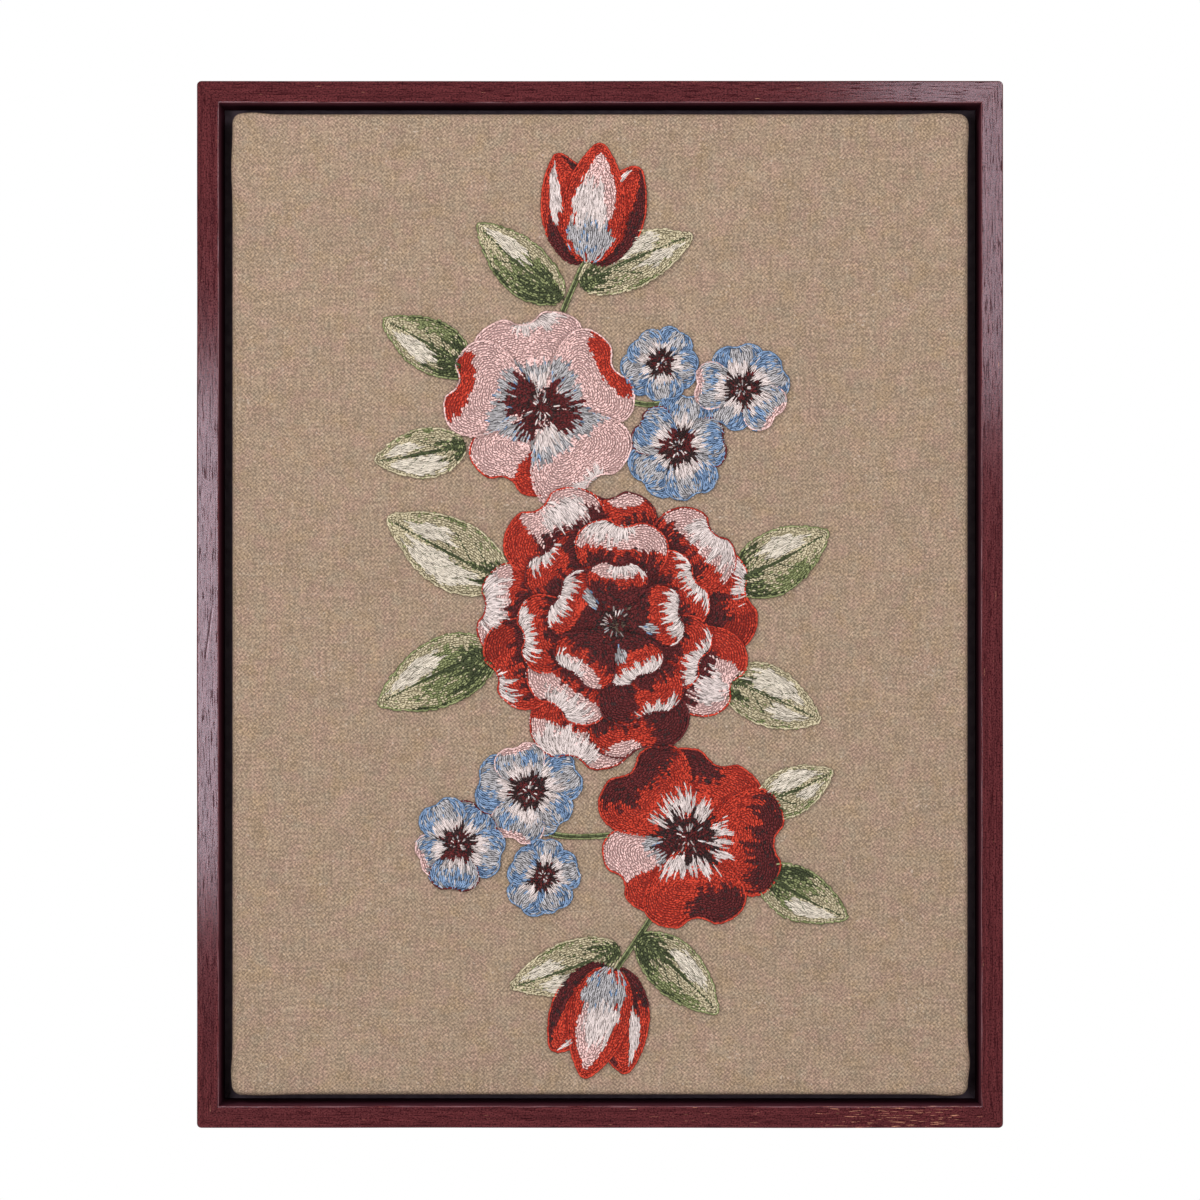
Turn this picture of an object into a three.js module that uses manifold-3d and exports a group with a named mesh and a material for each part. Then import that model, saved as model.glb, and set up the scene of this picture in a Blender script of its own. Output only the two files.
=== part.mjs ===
// A floral spray embroidered on linen, stretched over a board and floated in a stained wood frame.
// The picture is modelled with x to the right, y up and z towards the viewer, z = 0 at the wall.
// The last group stands it up: z up, the face towards -y, the origin on the wall behind the top ledge.
import * as THREE from "three";
import { mergeVertices } from "three/addons/utils/BufferGeometryUtils.js";
import Module from "manifold-3d";

const wasm = await Module();
wasm.setup();

// Driving dimensions in millimetres
const FIT = 0.3; // clearance between neighbouring pieces
const PANEL = { width: 300, height: 400, cornerRadius: 3.5, edgeRadius: 2.4 };
const FLOAT_GAP = { side: 5, end: 4 }; // open gap from the linen to the frame's inner wall
const RAIL = { face: 9, depth: 32, arris: 0.9, cornerRadius: 1.6 };
const LEDGE = { thickness: 8, reach: 14 };
const BOARD = { thickness: 18, easing: 1.5 };
const LINEN = { thickness: 1, turnOver: 28 };
const STITCHES = { edge: 0.5, crown: 0.6, heartRise: 1.2 };
const STEM_WIDTH = 2.4;

const FRAME_WIDTH = PANEL.width + 2 * (FLOAT_GAP.side + RAIL.face);
const FRAME_HEIGHT = PANEL.height + 2 * (FLOAT_GAP.end + RAIL.face);
const LINEN_BACK = LEDGE.thickness + FIT;
const BOARD_BACK = LINEN_BACK + LINEN.thickness + FIT;
const LINEN_FRONT = BOARD_BACK + BOARD.thickness + FIT + LINEN.thickness;
const STITCH_BACK = LINEN_FRONT + FIT;
const LEDGE_OUTER = RAIL.face + FIT; // measured inwards from the frame's outer edge
const LEDGE_INNER = LEDGE_OUTER + LEDGE.reach;
const HANGING_HEIGHT = FRAME_HEIGHT / 2 - (LEDGE_OUTER + LEDGE_INNER) / 2;

const colour = (hex, roughness) => new THREE.MeshStandardMaterial({ color: hex, roughness, metalness: 0 });
const FINISH = {
  stainedWood: colour(0x5a2023, 0.45),
  blackWood: colour(0x161314, 0.8),
  board: colour(0xb89a72, 0.8),
  linen: colour(0xa88d70, 0.95),
  red: colour(0xb23a2c, 0.85),
  pink: colour(0xe0a7a4, 0.85),
  cream: colour(0xe6dcd3, 0.85),
  maroon: colour(0x4c1a22, 0.85),
  blue: colour(0x5f8fc4, 0.85),
  leafGreen: colour(0x6c8a55, 0.85),
  paleGreen: colour(0xb3b58c, 0.85),
};

// Corner pleats of the stretched linen: the side, the end of it, how far in, how far out, how long
const PLEATS = [
  { side: "right", end: -1, inset: 13, out: 1.0, length: 6 },
  { side: "right", end: 1, inset: 7, out: 0.5, length: 6 },
  { side: "left", end: 1, inset: 22, out: 0.5, length: 9 },
  { side: "left", end: -1, inset: 9, out: 0.6, length: 6 },
  { side: "top", end: -1, inset: 8, out: 0.8, length: 6 },
  { side: "top", end: 1, inset: 11, out: 0.5, length: 8 },
  { side: "bottom", end: 1, inset: 8, out: 0.6, length: 6 },
  { side: "bottom", end: -1, inset: 12, out: 0.4, length: 9 },
];

// The spray, measured from the middle of the panel. A turn is in degrees, 0 to the right and 90 up.
const PETAL_FORM = {
  peony: { belly: 0.85, tip: 0.42 },
  rose: { belly: 1.0, tip: 0.42 },
  blue: { belly: 0.9, tip: 0.45 },
  tulip: { belly: 0.55, tip: 0.8 },
  leaf: { belly: 0.75, tip: 0.95 },
};
const PEONY = { x: 6, y: -8, heart: 8.5 };
const PEONY_RINGS = [
  { name: "outer", petals: 9, first: 8, start: 14, end: 57, width: 42, notch: 0.07, finish: "red" },
  { name: "middle", petals: 7, first: 31, start: 9, end: 42, width: 36, notch: 0.08, finish: "pink" },
  { name: "inner", petals: 5, first: 12, start: 4, end: 27, width: 28, notch: 0.09, finish: "cream" },
];
const ROSES = [
  { name: "rose_upper", x: -24, y: 80, end: 38, width: 43, first: 96, heart: 8.5, finish: "pink" },
  { name: "rose_lower", x: 36, y: -95, end: 37, width: 42, first: 64, heart: 8, finish: "red" },
];
const BLUES = [
  { x: 32, y: 64, end: 21, width: 23, first: 78 },
  { x: 58, y: 88, end: 18.5, width: 20, first: 100 },
  { x: 25, y: 98, end: 15.5, width: 17, first: 60 },
  { x: -29, y: -76, end: 21, width: 23, first: 30 },
  { x: -58, y: -98, end: 18.5, width: 20, first: 52 },
  { x: -23, y: -111, end: 15.5, width: 17, first: 84 },
];
const BLOSSOM_PETALS = 5;
const BLUE_HEART_SHARE = 0.24;
const UNEVEN = { turn: 5, length: 0.07, width: 0.09 }; // how far the petals of one ring differ
const TULIPS = [
  { name: "tulip_top", x: -5, y: 138, turn: 84, length: 51, width: 27 },
  { name: "tulip_bottom", x: 5, y: -147, turn: -104, length: 48, width: 26 },
];
const TULIP_PETALS = [
  { name: "left", turn: 21, share: 0.94, finish: "red" },
  { name: "right", turn: -21, share: 0.9, finish: "red" },
  { name: "front", turn: 0, share: 1, finish: "pink" },
];
const LEAVES = [
  { x: -36, y: 9, turn: 157, length: 58, width: 29, bend: -0.08 },
  { x: -40, y: -18, turn: 199, length: 56, width: 28, bend: 0.09 },
  { x: 52, y: 8, turn: 22, length: 47, width: 26, bend: 0.1 },
  { x: 48, y: -30, turn: -17, length: 46, width: 25, bend: -0.1 },
  { x: -52, y: 94, turn: 143, length: 43, width: 22, bend: 0.1 },
  { x: -54, y: 66, turn: 197, length: 39, width: 21, bend: -0.1 },
  { x: 64, y: -108, turn: -34, length: 42, width: 22, bend: 0.1 },
  { x: 62, y: -82, turn: 16, length: 36, width: 20, bend: 0.12 },
  { x: -14, y: 124, turn: 146, length: 48, width: 22, bend: -0.12 },
  { x: -9, y: 129, turn: 30, length: 52, width: 23, bend: -0.1 },
  { x: 14, y: -135, turn: -36, length: 47, width: 22, bend: -0.12 },
  { x: 9, y: -139, turn: 206, length: 49, width: 22, bend: -0.1 },
];
const STEMS = [
  { from: [-18, 112], by: [-12, 128], to: [-5, 142] },
  { from: [22, -126], by: [14, -138], to: [5, -151] },
  { from: [25, 82], by: [20, 80], to: [8, 84] },
  { from: [-24, -92], by: [-16, -96], to: [4, -94] },
];

// Solids and geometries
function solidOf(geometry) {
  const bare = geometry.clone();
  bare.deleteAttribute("normal");
  bare.deleteAttribute("uv");
  const merged = mergeVertices(bare, 1e-4);
  return new wasm.Manifold(
    new wasm.Mesh({
      numProp: 3,
      vertProperties: merged.attributes.position.array,
      triVerts: new Uint32Array(merged.index.array),
    }),
  );
}

function geometryOf(solid) {
  const mesh = solid.getMesh();
  const geometry = new THREE.BufferGeometry();
  geometry.setAttribute("position", new THREE.Float32BufferAttribute(mesh.vertProperties, 3));
  geometry.setIndex([...mesh.triVerts]);
  geometry.computeVertexNormals();
  return geometry;
}

function geometryFrom(points, triangles) {
  const geometry = new THREE.BufferGeometry();
  geometry.setAttribute("position", new THREE.Float32BufferAttribute(points.flat(), 3));
  geometry.setIndex(triangles.flat());
  geometry.computeVertexNormals();
  return geometry;
}

function piece(name, geometry, material) {
  const mesh = new THREE.Mesh(geometry, material);
  mesh.name = name;
  return mesh;
}

function roundedRectangle(width, height, radius) {
  const x = width / 2;
  const y = height / 2;
  const shape = new THREE.Shape();
  shape.absarc(x - radius, y - radius, radius, 0, Math.PI / 2);
  shape.absarc(radius - x, y - radius, radius, Math.PI / 2, Math.PI);
  shape.absarc(radius - x, radius - y, radius, Math.PI, 1.5 * Math.PI);
  shape.absarc(x - radius, radius - y, radius, 1.5 * Math.PI, 2 * Math.PI);
  return shape;
}

// Frame: mitred rails with eased front arrises, and the black ledges that the panel sits on
function easedProfile(width, depth, arris) {
  const steps = 3;
  const quarter = (k) => (k / steps) * (Math.PI / 2);
  const outer = [];
  const inner = [];
  for (let k = 0; k <= steps; k++) {
    const along = arris * (1 - Math.cos(quarter(k)));
    const up = depth - arris + arris * Math.sin(quarter(k));
    outer.push(new THREE.Vector2(along, up));
    inner.unshift(new THREE.Vector2(width - along, up));
  }
  return [new THREE.Vector2(0, 0), ...outer, ...inner, new THREE.Vector2(width, 0)];
}

// A strip along the top side. The profile's x runs inwards from the outer edge and its y towards the viewer.
function mitredStrip(profile, sideLength, across) {
  const mitreCut = FIT / Math.SQRT2;
  const end = (p) => sideLength / 2 - p.x - mitreCut;
  const points = [
    ...profile.map((p) => [-end(p), across / 2 - p.x, p.y]),
    ...profile.map((p) => [end(p), across / 2 - p.x, p.y]),
  ];
  const count = profile.length;
  const triangles = [];
  for (let i = 0; i < count; i++) {
    const next = (i + 1) % count;
    triangles.push([i, next, i + count], [next, next + count, i + count]);
  }
  for (const [a, b, c] of THREE.ShapeUtils.triangulateShape(profile, [])) {
    triangles.push([a, b, c], [a + count, c + count, b + count]);
  }
  return geometryFrom(points, triangles);
}

function frameSides(prefix, makeStrip, material) {
  const sides = new THREE.Group();
  const turns = { top: 0, left: 1, bottom: 2, right: 3 };
  for (const [side, quarters] of Object.entries(turns)) {
    const upright = quarters % 2 === 1;
    const along = upright ? FRAME_HEIGHT : FRAME_WIDTH;
    const across = upright ? FRAME_WIDTH : FRAME_HEIGHT;
    const mesh = piece(`${prefix}_${side}`, makeStrip(along, across), material);
    mesh.rotation.z = (quarters * Math.PI) / 2;
    sides.add(mesh);
  }
  return sides;
}

function railStrip(along, across) {
  const strip = mitredStrip(easedProfile(RAIL.face, RAIL.depth, RAIL.arris), along, across);
  const outline = new THREE.ExtrudeGeometry(roundedRectangle(along, across, RAIL.cornerRadius), {
    depth: RAIL.depth + 2 * FIT,
    bevelEnabled: false,
    curveSegments: 5,
  }).translate(0, 0, -FIT);
  return geometryOf(solidOf(strip).intersect(solidOf(outline)));
}

function ledgeStrip(along, across) {
  const profile = [
    new THREE.Vector2(LEDGE_OUTER, 0),
    new THREE.Vector2(LEDGE_OUTER, LEDGE.thickness),
    new THREE.Vector2(LEDGE_INNER, LEDGE.thickness),
    new THREE.Vector2(LEDGE_INNER, 0),
  ];
  return mitredStrip(profile, along, across);
}

// Board inside the linen
function board() {
  const slack = LINEN.thickness + FIT;
  const corner = PANEL.cornerRadius - slack;
  const shape = roundedRectangle(PANEL.width - 2 * slack, PANEL.height - 2 * slack, corner);
  const geometry = new THREE.ExtrudeGeometry(shape, {
    depth: BOARD.thickness - 2 * BOARD.easing,
    bevelThickness: BOARD.easing,
    bevelSize: BOARD.easing,
    bevelOffset: -BOARD.easing,
    bevelSegments: 1,
    curveSegments: 3,
  });
  return piece("board", geometry.translate(0, 0, BOARD_BACK + BOARD.easing), FINISH.board);
}

// Linen: one sheet over the front, round the four sides and turned over on the back
const SIDE_STEPS = [-1, -0.97, -0.94, -0.91, -0.88, -0.84, -0.78, -0.5, 0, 0.5, 0.78, 0.84, 0.88, 0.91, 0.94, 0.97, 1];
const CORNER_STEPS = 4;
const SIDES = ["top", "left", "bottom", "right"];

function pleatBulge(side, along, halfLength) {
  return PLEATS.filter((p) => p.side === side).reduce((sum, p) => {
    const distance = (along - p.end * (halfLength - p.inset)) / p.length;
    return sum + p.out * Math.exp(-distance * distance);
  }, 0);
}

// The panel's outline drawn in by inset, as a closed loop of [x, y], with its corner pleats scaled by bulge
function panelLoop(inset, bulge) {
  const halfWidth = PANEL.width / 2 - inset;
  const halfHeight = PANEL.height / 2 - inset;
  const radius = Math.max(PANEL.cornerRadius - inset, 0.6);
  const loop = [];
  SIDES.forEach((side, k) => {
    const upright = k % 2 === 1;
    const half = (upright ? halfHeight : halfWidth) - radius;
    const out = upright ? halfWidth : halfHeight;
    const turn = (x, y) => [[x, y], [-y, x], [-x, -y], [y, -x]][k];
    const direction = k < 2 ? 1 : -1;
    for (const step of SIDE_STEPS) {
      const along = -step * half;
      const push = bulge * pleatBulge(side, along * direction, upright ? halfHeight : halfWidth);
      loop.push(turn(along, out + push));
    }
    for (let c = 1; c < CORNER_STEPS; c++) {
      const angle = Math.PI / 2 + (c / CORNER_STEPS) * (Math.PI / 2);
      loop.push(turn(-half + radius * Math.cos(angle), out - radius + radius * Math.sin(angle)));
    }
  });
  return loop;
}

function linen() {
  const { edgeRadius } = PANEL;
  const { thickness, turnOver } = LINEN;
  const arc = [30, 60, 90].map((degrees) => (degrees * Math.PI) / 180);
  const stations = [
    { inset: edgeRadius, level: LINEN_FRONT, bulge: 0.2 },
    ...arc.map((a) => ({
      inset: edgeRadius * (1 - Math.sin(a)),
      level: LINEN_FRONT - edgeRadius * (1 - Math.cos(a)),
      bulge: 0.2 + 0.8 * Math.sin(a),
    })),
    ...arc.toReversed().map((a) => ({
      inset: edgeRadius * (1 - Math.sin(a)),
      level: LINEN_BACK + edgeRadius * (1 - Math.cos(a)),
      bulge: Math.sin(a),
    })),
    { inset: edgeRadius, level: LINEN_BACK, bulge: 0 },
    { inset: turnOver, level: LINEN_BACK, bulge: 0 },
    { inset: turnOver, level: LINEN_BACK + thickness, bulge: 0 },
    { inset: edgeRadius, level: LINEN_BACK + thickness, bulge: 0 },
    { inset: thickness, level: LINEN_BACK + edgeRadius, bulge: 1 },
    { inset: thickness, level: LINEN_FRONT - edgeRadius, bulge: 1 },
    { inset: edgeRadius, level: LINEN_FRONT - thickness, bulge: 0.2 },
  ];
  const loops = stations.map((s) => panelLoop(s.inset, s.bulge).map(([x, y]) => [x, y, s.level]));
  const count = loops[0].length;
  const points = loops.flat();
  const triangles = [];
  for (let row = 0; row + 1 < loops.length; row++) {
    for (let i = 0; i < count; i++) {
      const next = (i + 1) % count;
      const near = row * count;
      const far = near + count;
      triangles.push([near + i, far + i, near + next], [near + next, far + i, far + next]);
    }
  }
  const flat = (loop) => loop.map(([x, y]) => new THREE.Vector2(x, y));
  const last = (loops.length - 1) * count;
  for (const [a, b, c] of THREE.ShapeUtils.triangulateShape(flat(loops[0]), [])) triangles.push([a, b, c]);
  for (const [a, b, c] of THREE.ShapeUtils.triangulateShape(flat(loops.at(-1)), [])) {
    triangles.push([last + a, last + c, last + b]);
  }
  return piece("linen", geometryFrom(points, triangles), FINISH.linen);
}

// Stitched areas: a petal or leaf runs from its base, s = 0, to its tip, s = 1, and from edge to edge, v = -1 to 1
function petalPoint({ x, y, turn, length, width, form, bend = 0, notch = 0 }, s, v) {
  const { belly, tip } = PETAL_FORM[form];
  const widest = belly / (belly + tip);
  const swell = (t) => t ** belly * (1 - t) ** tip;
  const across = (v * width * swell(s)) / swell(widest) / 2 + bend * length * s * s;
  const dip = 1 - notch * s ** 3 * Math.max(0, 1 - (v / 0.7) ** 2);
  const along = length * s * dip;
  const angle = THREE.MathUtils.degToRad(turn);
  return [
    x + along * Math.cos(angle) - across * Math.sin(angle),
    y + along * Math.sin(angle) + across * Math.cos(angle),
  ];
}

function grown(petal) {
  const angle = THREE.MathUtils.degToRad(petal.turn);
  return {
    ...petal,
    x: petal.x - FIT * Math.cos(angle),
    y: petal.y - FIT * Math.sin(angle),
    length: petal.length + 2 * FIT,
    width: petal.width + 3 * FIT,
  };
}

function stemPoint({ from, by, to, width }, s, v) {
  const curve = new THREE.QuadraticBezierCurve(
    new THREE.Vector2(...from),
    new THREE.Vector2(...by),
    new THREE.Vector2(...to),
  );
  const at = curve.getPoint(s);
  const heading = curve.getTangent(s);
  return [at.x - (heading.y * v * width) / 2, at.y + (heading.x * v * width) / 2];
}

// A closed pad over pointAt(s, v), flat behind, with its front at rise(s, v) above the back
const PAD_ROWS = [0.03, 0.16, 0.36, 0.58, 0.78, 0.92, 0.985];
const PAD_COLUMNS = [-1, -0.45, 0, 0.45, 1];

function padSolid(pointAt, back, rise) {
  const wide = PAD_COLUMNS.length;
  const last = PAD_ROWS.length - 1;
  const behindRow = (s, columns) => columns.map((v) => [...pointAt(s, v), back]);
  const front = PAD_ROWS.flatMap((s) => PAD_COLUMNS.map((v) => [...pointAt(s, v), back + rise(s, v)]));
  const behind = PAD_ROWS.flatMap((s, i) => behindRow(s, i < last ? [-1, 1] : PAD_COLUMNS));
  const top = (i, j) => i * wide + j;
  const right = (i) => front.length + 2 * i;
  const left = (i) => right(i) + (i < last ? 1 : wide - 1);
  const tip = (j) => right(last) + j;
  const triangles = [];
  const quad = (a, b, c, d) => triangles.push([a, b, c], [a, c, d]);
  for (let i = 0; i < last; i++) {
    for (let j = 0; j + 1 < wide; j++) quad(top(i, j), top(i + 1, j), top(i + 1, j + 1), top(i, j + 1));
    quad(right(i), right(i + 1), top(i + 1, 0), top(i, 0));
    quad(left(i), top(i, wide - 1), top(i + 1, wide - 1), left(i + 1));
    if (i + 1 < last) quad(right(i), left(i), left(i + 1), right(i + 1));
  }
  for (let j = 0; j + 1 < wide; j++) {
    triangles.push([right(0), top(0, j), top(0, j + 1)], [left(last - 1), tip(j + 1), tip(j)]);
    quad(tip(j), tip(j + 1), top(last, j + 1), top(last, j));
  }
  triangles.push([right(0), top(0, wide - 1), left(0)], [right(last - 1), left(last - 1), tip(0)]);
  return solidOf(geometryFrom([...front, ...behind], triangles));
}

const crowned = (s, v) => STITCHES.edge + STITCHES.crown * (1 - v * v) * Math.sqrt(Math.sin(Math.PI * s));
const CUTTER_DEPTH = 6;
const tall = () => CUTTER_DEPTH;

const petalPad = (petal) => padSolid((s, v) => petalPoint(petal, s, v), STITCH_BACK, crowned);
const petalCutter = (petal) =>
  padSolid((s, v) => petalPoint(grown(petal), s, v), LINEN_FRONT - CUTTER_DEPTH / 2, tall);
const joined = (solids) => solids.reduce((all, solid) => all.add(solid));

// A round, slightly domed heart of knots, and the wider hole that it needs
function heartDome(x, y, radius) {
  const rise = STITCHES.heartRise;
  const profile = [
    [0, 0],
    [radius, 0],
    [radius, rise * 0.5],
    [radius * 0.7, rise * 0.9],
    [0, rise],
  ].map(([across, up]) => new THREE.Vector2(across, up));
  const dome = new THREE.LatheGeometry(profile, 16).rotateX(Math.PI / 2);
  return solidOf(dome.translate(x, y, STITCH_BACK));
}

function heartCutter(x, y, radius) {
  const hole = new THREE.CylinderGeometry(radius + FIT, radius + FIT, CUTTER_DEPTH, 16);
  return solidOf(hole.rotateX(Math.PI / 2).translate(x, y, LINEN_FRONT));
}

function petalRing({ x, y, petals, first, start = 0, end, width, form, notch }) {
  return Array.from({ length: petals }, (_, k) => {
    const turn = first + (k * 360) / petals + UNEVEN.turn * Math.sin(3.1 * k + first);
    const angle = THREE.MathUtils.degToRad(turn);
    return {
      x: x + start * Math.cos(angle),
      y: y + start * Math.sin(angle),
      turn,
      length: (end - start) * (1 + UNEVEN.length * Math.sin(2.3 * k + end)),
      width: width * (1 + UNEVEN.width * Math.cos(1.9 * k + end)),
      form,
      notch,
    };
  });
}

// Motifs in the order they are worked. Each later one is cut, with clearance, out of those before it.
function stemMotifs() {
  return STEMS.map((stem, k) => {
    const pad = (width, back, rise) => padSolid((s, v) => stemPoint({ ...stem, width }, s, v), back, rise);
    return {
      parts: [{ name: `stem_${k + 1}`, solid: pad(STEM_WIDTH, STITCH_BACK, crowned), finish: "leafGreen" }],
      cutter: pad(STEM_WIDTH + 2 * FIT, LINEN_FRONT - CUTTER_DEPTH / 2, tall),
    };
  });
}

function leafMotifs() {
  return LEAVES.map((row, k) => {
    const leaf = { ...row, form: "leaf" };
    const finish = k % 2 ? "leafGreen" : "paleGreen";
    return {
      parts: [{ name: `leaf_${k + 1}`, solid: petalPad(leaf), finish }],
      cutter: petalCutter(leaf),
    };
  });
}

function blossom(name, heartRadius, petals, petalFinish, heartFinish) {
  const { x, y } = name;
  const hole = heartCutter(x, y, heartRadius);
  return {
    parts: [
      { name: `${name.text}_petals`, solid: joined(petals.map(petalPad)).subtract(hole), finish: petalFinish },
      { name: `${name.text}_heart`, solid: heartDome(x, y, heartRadius), finish: heartFinish },
    ],
    cutter: joined([...petals.map(petalCutter), hole]),
  };
}

function blueMotifs() {
  return BLUES.map((row, k) => {
    const petals = petalRing({ ...row, petals: BLOSSOM_PETALS, form: "blue", notch: 0.06 });
    const at = { text: `blue_${k + 1}`, x: row.x, y: row.y };
    return blossom(at, row.end * BLUE_HEART_SHARE, petals, "blue", "maroon");
  });
}

function roseMotifs() {
  return ROSES.map((row) => {
    const petals = petalRing({ ...row, petals: BLOSSOM_PETALS, form: "rose", notch: 0.1 });
    const at = { text: row.name, x: row.x, y: row.y };
    return blossom(at, row.heart, petals, row.finish, "maroon");
  });
}

function tulipMotifs() {
  return TULIPS.flatMap((tulip) =>
    TULIP_PETALS.map(({ name, turn, share, finish }) => {
      const petal = {
        ...tulip,
        turn: tulip.turn + turn,
        length: tulip.length * share,
        form: "tulip",
      };
      return {
        parts: [{ name: `${tulip.name}_${name}`, solid: petalPad(petal), finish }],
        cutter: petalCutter(petal),
      };
    }),
  );
}

function peonyMotifs() {
  const { x, y, heart } = PEONY;
  const rings = PEONY_RINGS.map((ring) => {
    const petals = petalRing({ ...ring, x, y, form: "peony" });
    return {
      parts: [{ name: `peony_${ring.name}`, solid: joined(petals.map(petalPad)), finish: ring.finish }],
      cutter: joined(petals.map(petalCutter)),
    };
  });
  const middle = {
    parts: [{ name: "peony_heart", solid: heartDome(x, y, heart), finish: "maroon" }],
    cutter: heartCutter(x, y, heart),
  };
  return [...rings, middle];
}

function boxesMeet(a, b) {
  const [p, q] = [a.boundingBox(), b.boundingBox()];
  return [0, 1].every((axis) => p.min[axis] <= q.max[axis] && q.min[axis] <= p.max[axis]);
}

function embroidery() {
  const motifs = [
    ...stemMotifs(),
    ...leafMotifs(),
    ...blueMotifs(),
    ...tulipMotifs(),
    ...roseMotifs(),
    ...peonyMotifs(),
  ];
  const group = new THREE.Group();
  motifs.forEach((motif, k) => {
    const later = motifs.slice(k + 1);
    for (const { name, solid, finish } of motif.parts) {
      const left = later.reduce(
        (rest, { cutter }) => (boxesMeet(rest, cutter) ? rest.subtract(cutter) : rest),
        solid,
      );
      group.add(piece(name, geometryOf(left), FINISH[finish]));
    }
  });
  return group;
}

// The picture stood up, with the origin on the wall behind the middle of the top ledge
const picture = new THREE.Group();
picture.add(frameSides("rail", railStrip, FINISH.stainedWood));
picture.add(frameSides("ledge", ledgeStrip, FINISH.blackWood));
picture.add(board(), linen(), embroidery());
picture.rotation.x = Math.PI / 2;
picture.position.z = -HANGING_HEIGHT;

const framedEmbroidery = new THREE.Group();
framedEmbroidery.add(picture);

export default framedEmbroidery;
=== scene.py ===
import math

import bpy
import numpy as np
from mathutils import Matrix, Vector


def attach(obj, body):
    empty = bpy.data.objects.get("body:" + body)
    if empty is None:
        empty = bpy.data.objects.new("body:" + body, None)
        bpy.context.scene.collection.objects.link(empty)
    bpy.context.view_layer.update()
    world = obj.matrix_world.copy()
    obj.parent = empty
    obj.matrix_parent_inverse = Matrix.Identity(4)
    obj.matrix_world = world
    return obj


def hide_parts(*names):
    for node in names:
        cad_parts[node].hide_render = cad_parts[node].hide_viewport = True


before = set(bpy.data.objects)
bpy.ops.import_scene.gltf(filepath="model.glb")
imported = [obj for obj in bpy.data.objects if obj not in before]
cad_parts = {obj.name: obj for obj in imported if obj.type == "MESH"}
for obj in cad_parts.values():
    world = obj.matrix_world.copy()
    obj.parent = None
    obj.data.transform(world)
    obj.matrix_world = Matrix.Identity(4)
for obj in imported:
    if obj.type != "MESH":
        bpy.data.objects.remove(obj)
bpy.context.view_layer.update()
print("frame loaded:", len(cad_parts), "nodes")

# Sizes are in millimetres on the picture: x to the right and y up from the middle of the panel,
# z towards the viewer from the wall. toRow turns them into the row frame, in metres.
hangingHeight = 196.7
random = np.random.default_rng(20)


def toRow(points):
    points = np.asarray(points, float)
    return np.stack([points[..., 0], -points[..., 2], points[..., 1] - hangingHeight], -1) / 1000


def linear(hexColour):
    parts = [int(hexColour[i : i + 2], 16) / 255 for i in (0, 2, 4)]
    return (*[c / 12.92 if c <= 0.04045 else ((c + 0.055) / 1.055) ** 2.4 for c in parts], 1.0)


def runAlong(path):
    return np.concatenate([[0], np.cumsum(np.hypot(*np.diff(path, axis=0).T))])


def pointsAlong(path, gone, marks):
    return np.column_stack([np.interp(marks, gone, path[:, 0]), np.interp(marks, gone, path[:, 1])])


def leftOf(heading):
    return np.column_stack([-heading[:, 1], heading[:, 0]])


def gridQuads(rows, columns):
    index = np.arange(rows * columns).reshape(rows, columns)
    return np.stack([index[:-1, :-1], index[1:, :-1], index[1:, 1:], index[:-1, 1:]], -1).reshape(-1, 4)


def addObject(name, data):
    made = bpy.data.objects.new(name, data)
    bpy.context.scene.collection.objects.link(made)
    return made


# A table's rows as dictionaries, its first line naming the columns
def table(columns, *rows):
    return [dict(zip(columns.split(), row)) for row in rows]


def namedTable(columns, **rows):
    return dict(zip(rows, table(columns, *rows.values())))


# Faces are rows of four corners, a triangle having -1 as its last
def meshPiece(name, points, faces, material, uvName, uvs):
    faces = np.asarray(faces, np.int32)
    used = faces >= 0
    totals = used.sum(1).astype(np.int32)
    starts = np.concatenate([[0], np.cumsum(totals)[:-1]]).astype(np.int32)
    corners = faces[used]
    mesh = bpy.data.meshes.new(name)
    mesh.vertices.add(len(points))
    mesh.vertices.foreach_set("co", toRow(points).astype(np.float32).ravel())
    mesh.loops.add(len(corners))
    mesh.loops.foreach_set("vertex_index", corners)
    mesh.polygons.add(len(faces))
    mesh.polygons.foreach_set("loop_start", starts)
    mesh.polygons.foreach_set("loop_total", totals)
    mesh.polygons.foreach_set("use_smooth", np.full(len(faces), True))
    layer = mesh.uv_layers.new(name=uvName)
    layer.data.foreach_set("uv", np.asarray(uvs, np.float32)[corners].ravel())
    mesh.update(calc_edges=True)
    mesh.validate()
    mesh.materials.append(material)
    return addObject(name, mesh)


# Materials: a signal is a socket, and maths on it adds Math nodes to its net
class Signal:
    def __init__(self, net, socket):
        self.net = net
        self.socket = socket

    def __add__(self, other):
        return self.net.maths("ADD", self, other)

    def __radd__(self, other):
        return self.net.maths("ADD", other, self)

    def __sub__(self, other):
        return self.net.maths("SUBTRACT", self, other)

    def __rsub__(self, other):
        return self.net.maths("SUBTRACT", other, self)

    def __mul__(self, other):
        return self.net.maths("MULTIPLY", self, other)

    def __rmul__(self, other):
        return self.net.maths("MULTIPLY", other, self)

    def __pow__(self, other):
        return self.net.maths("POWER", self, other)


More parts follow.
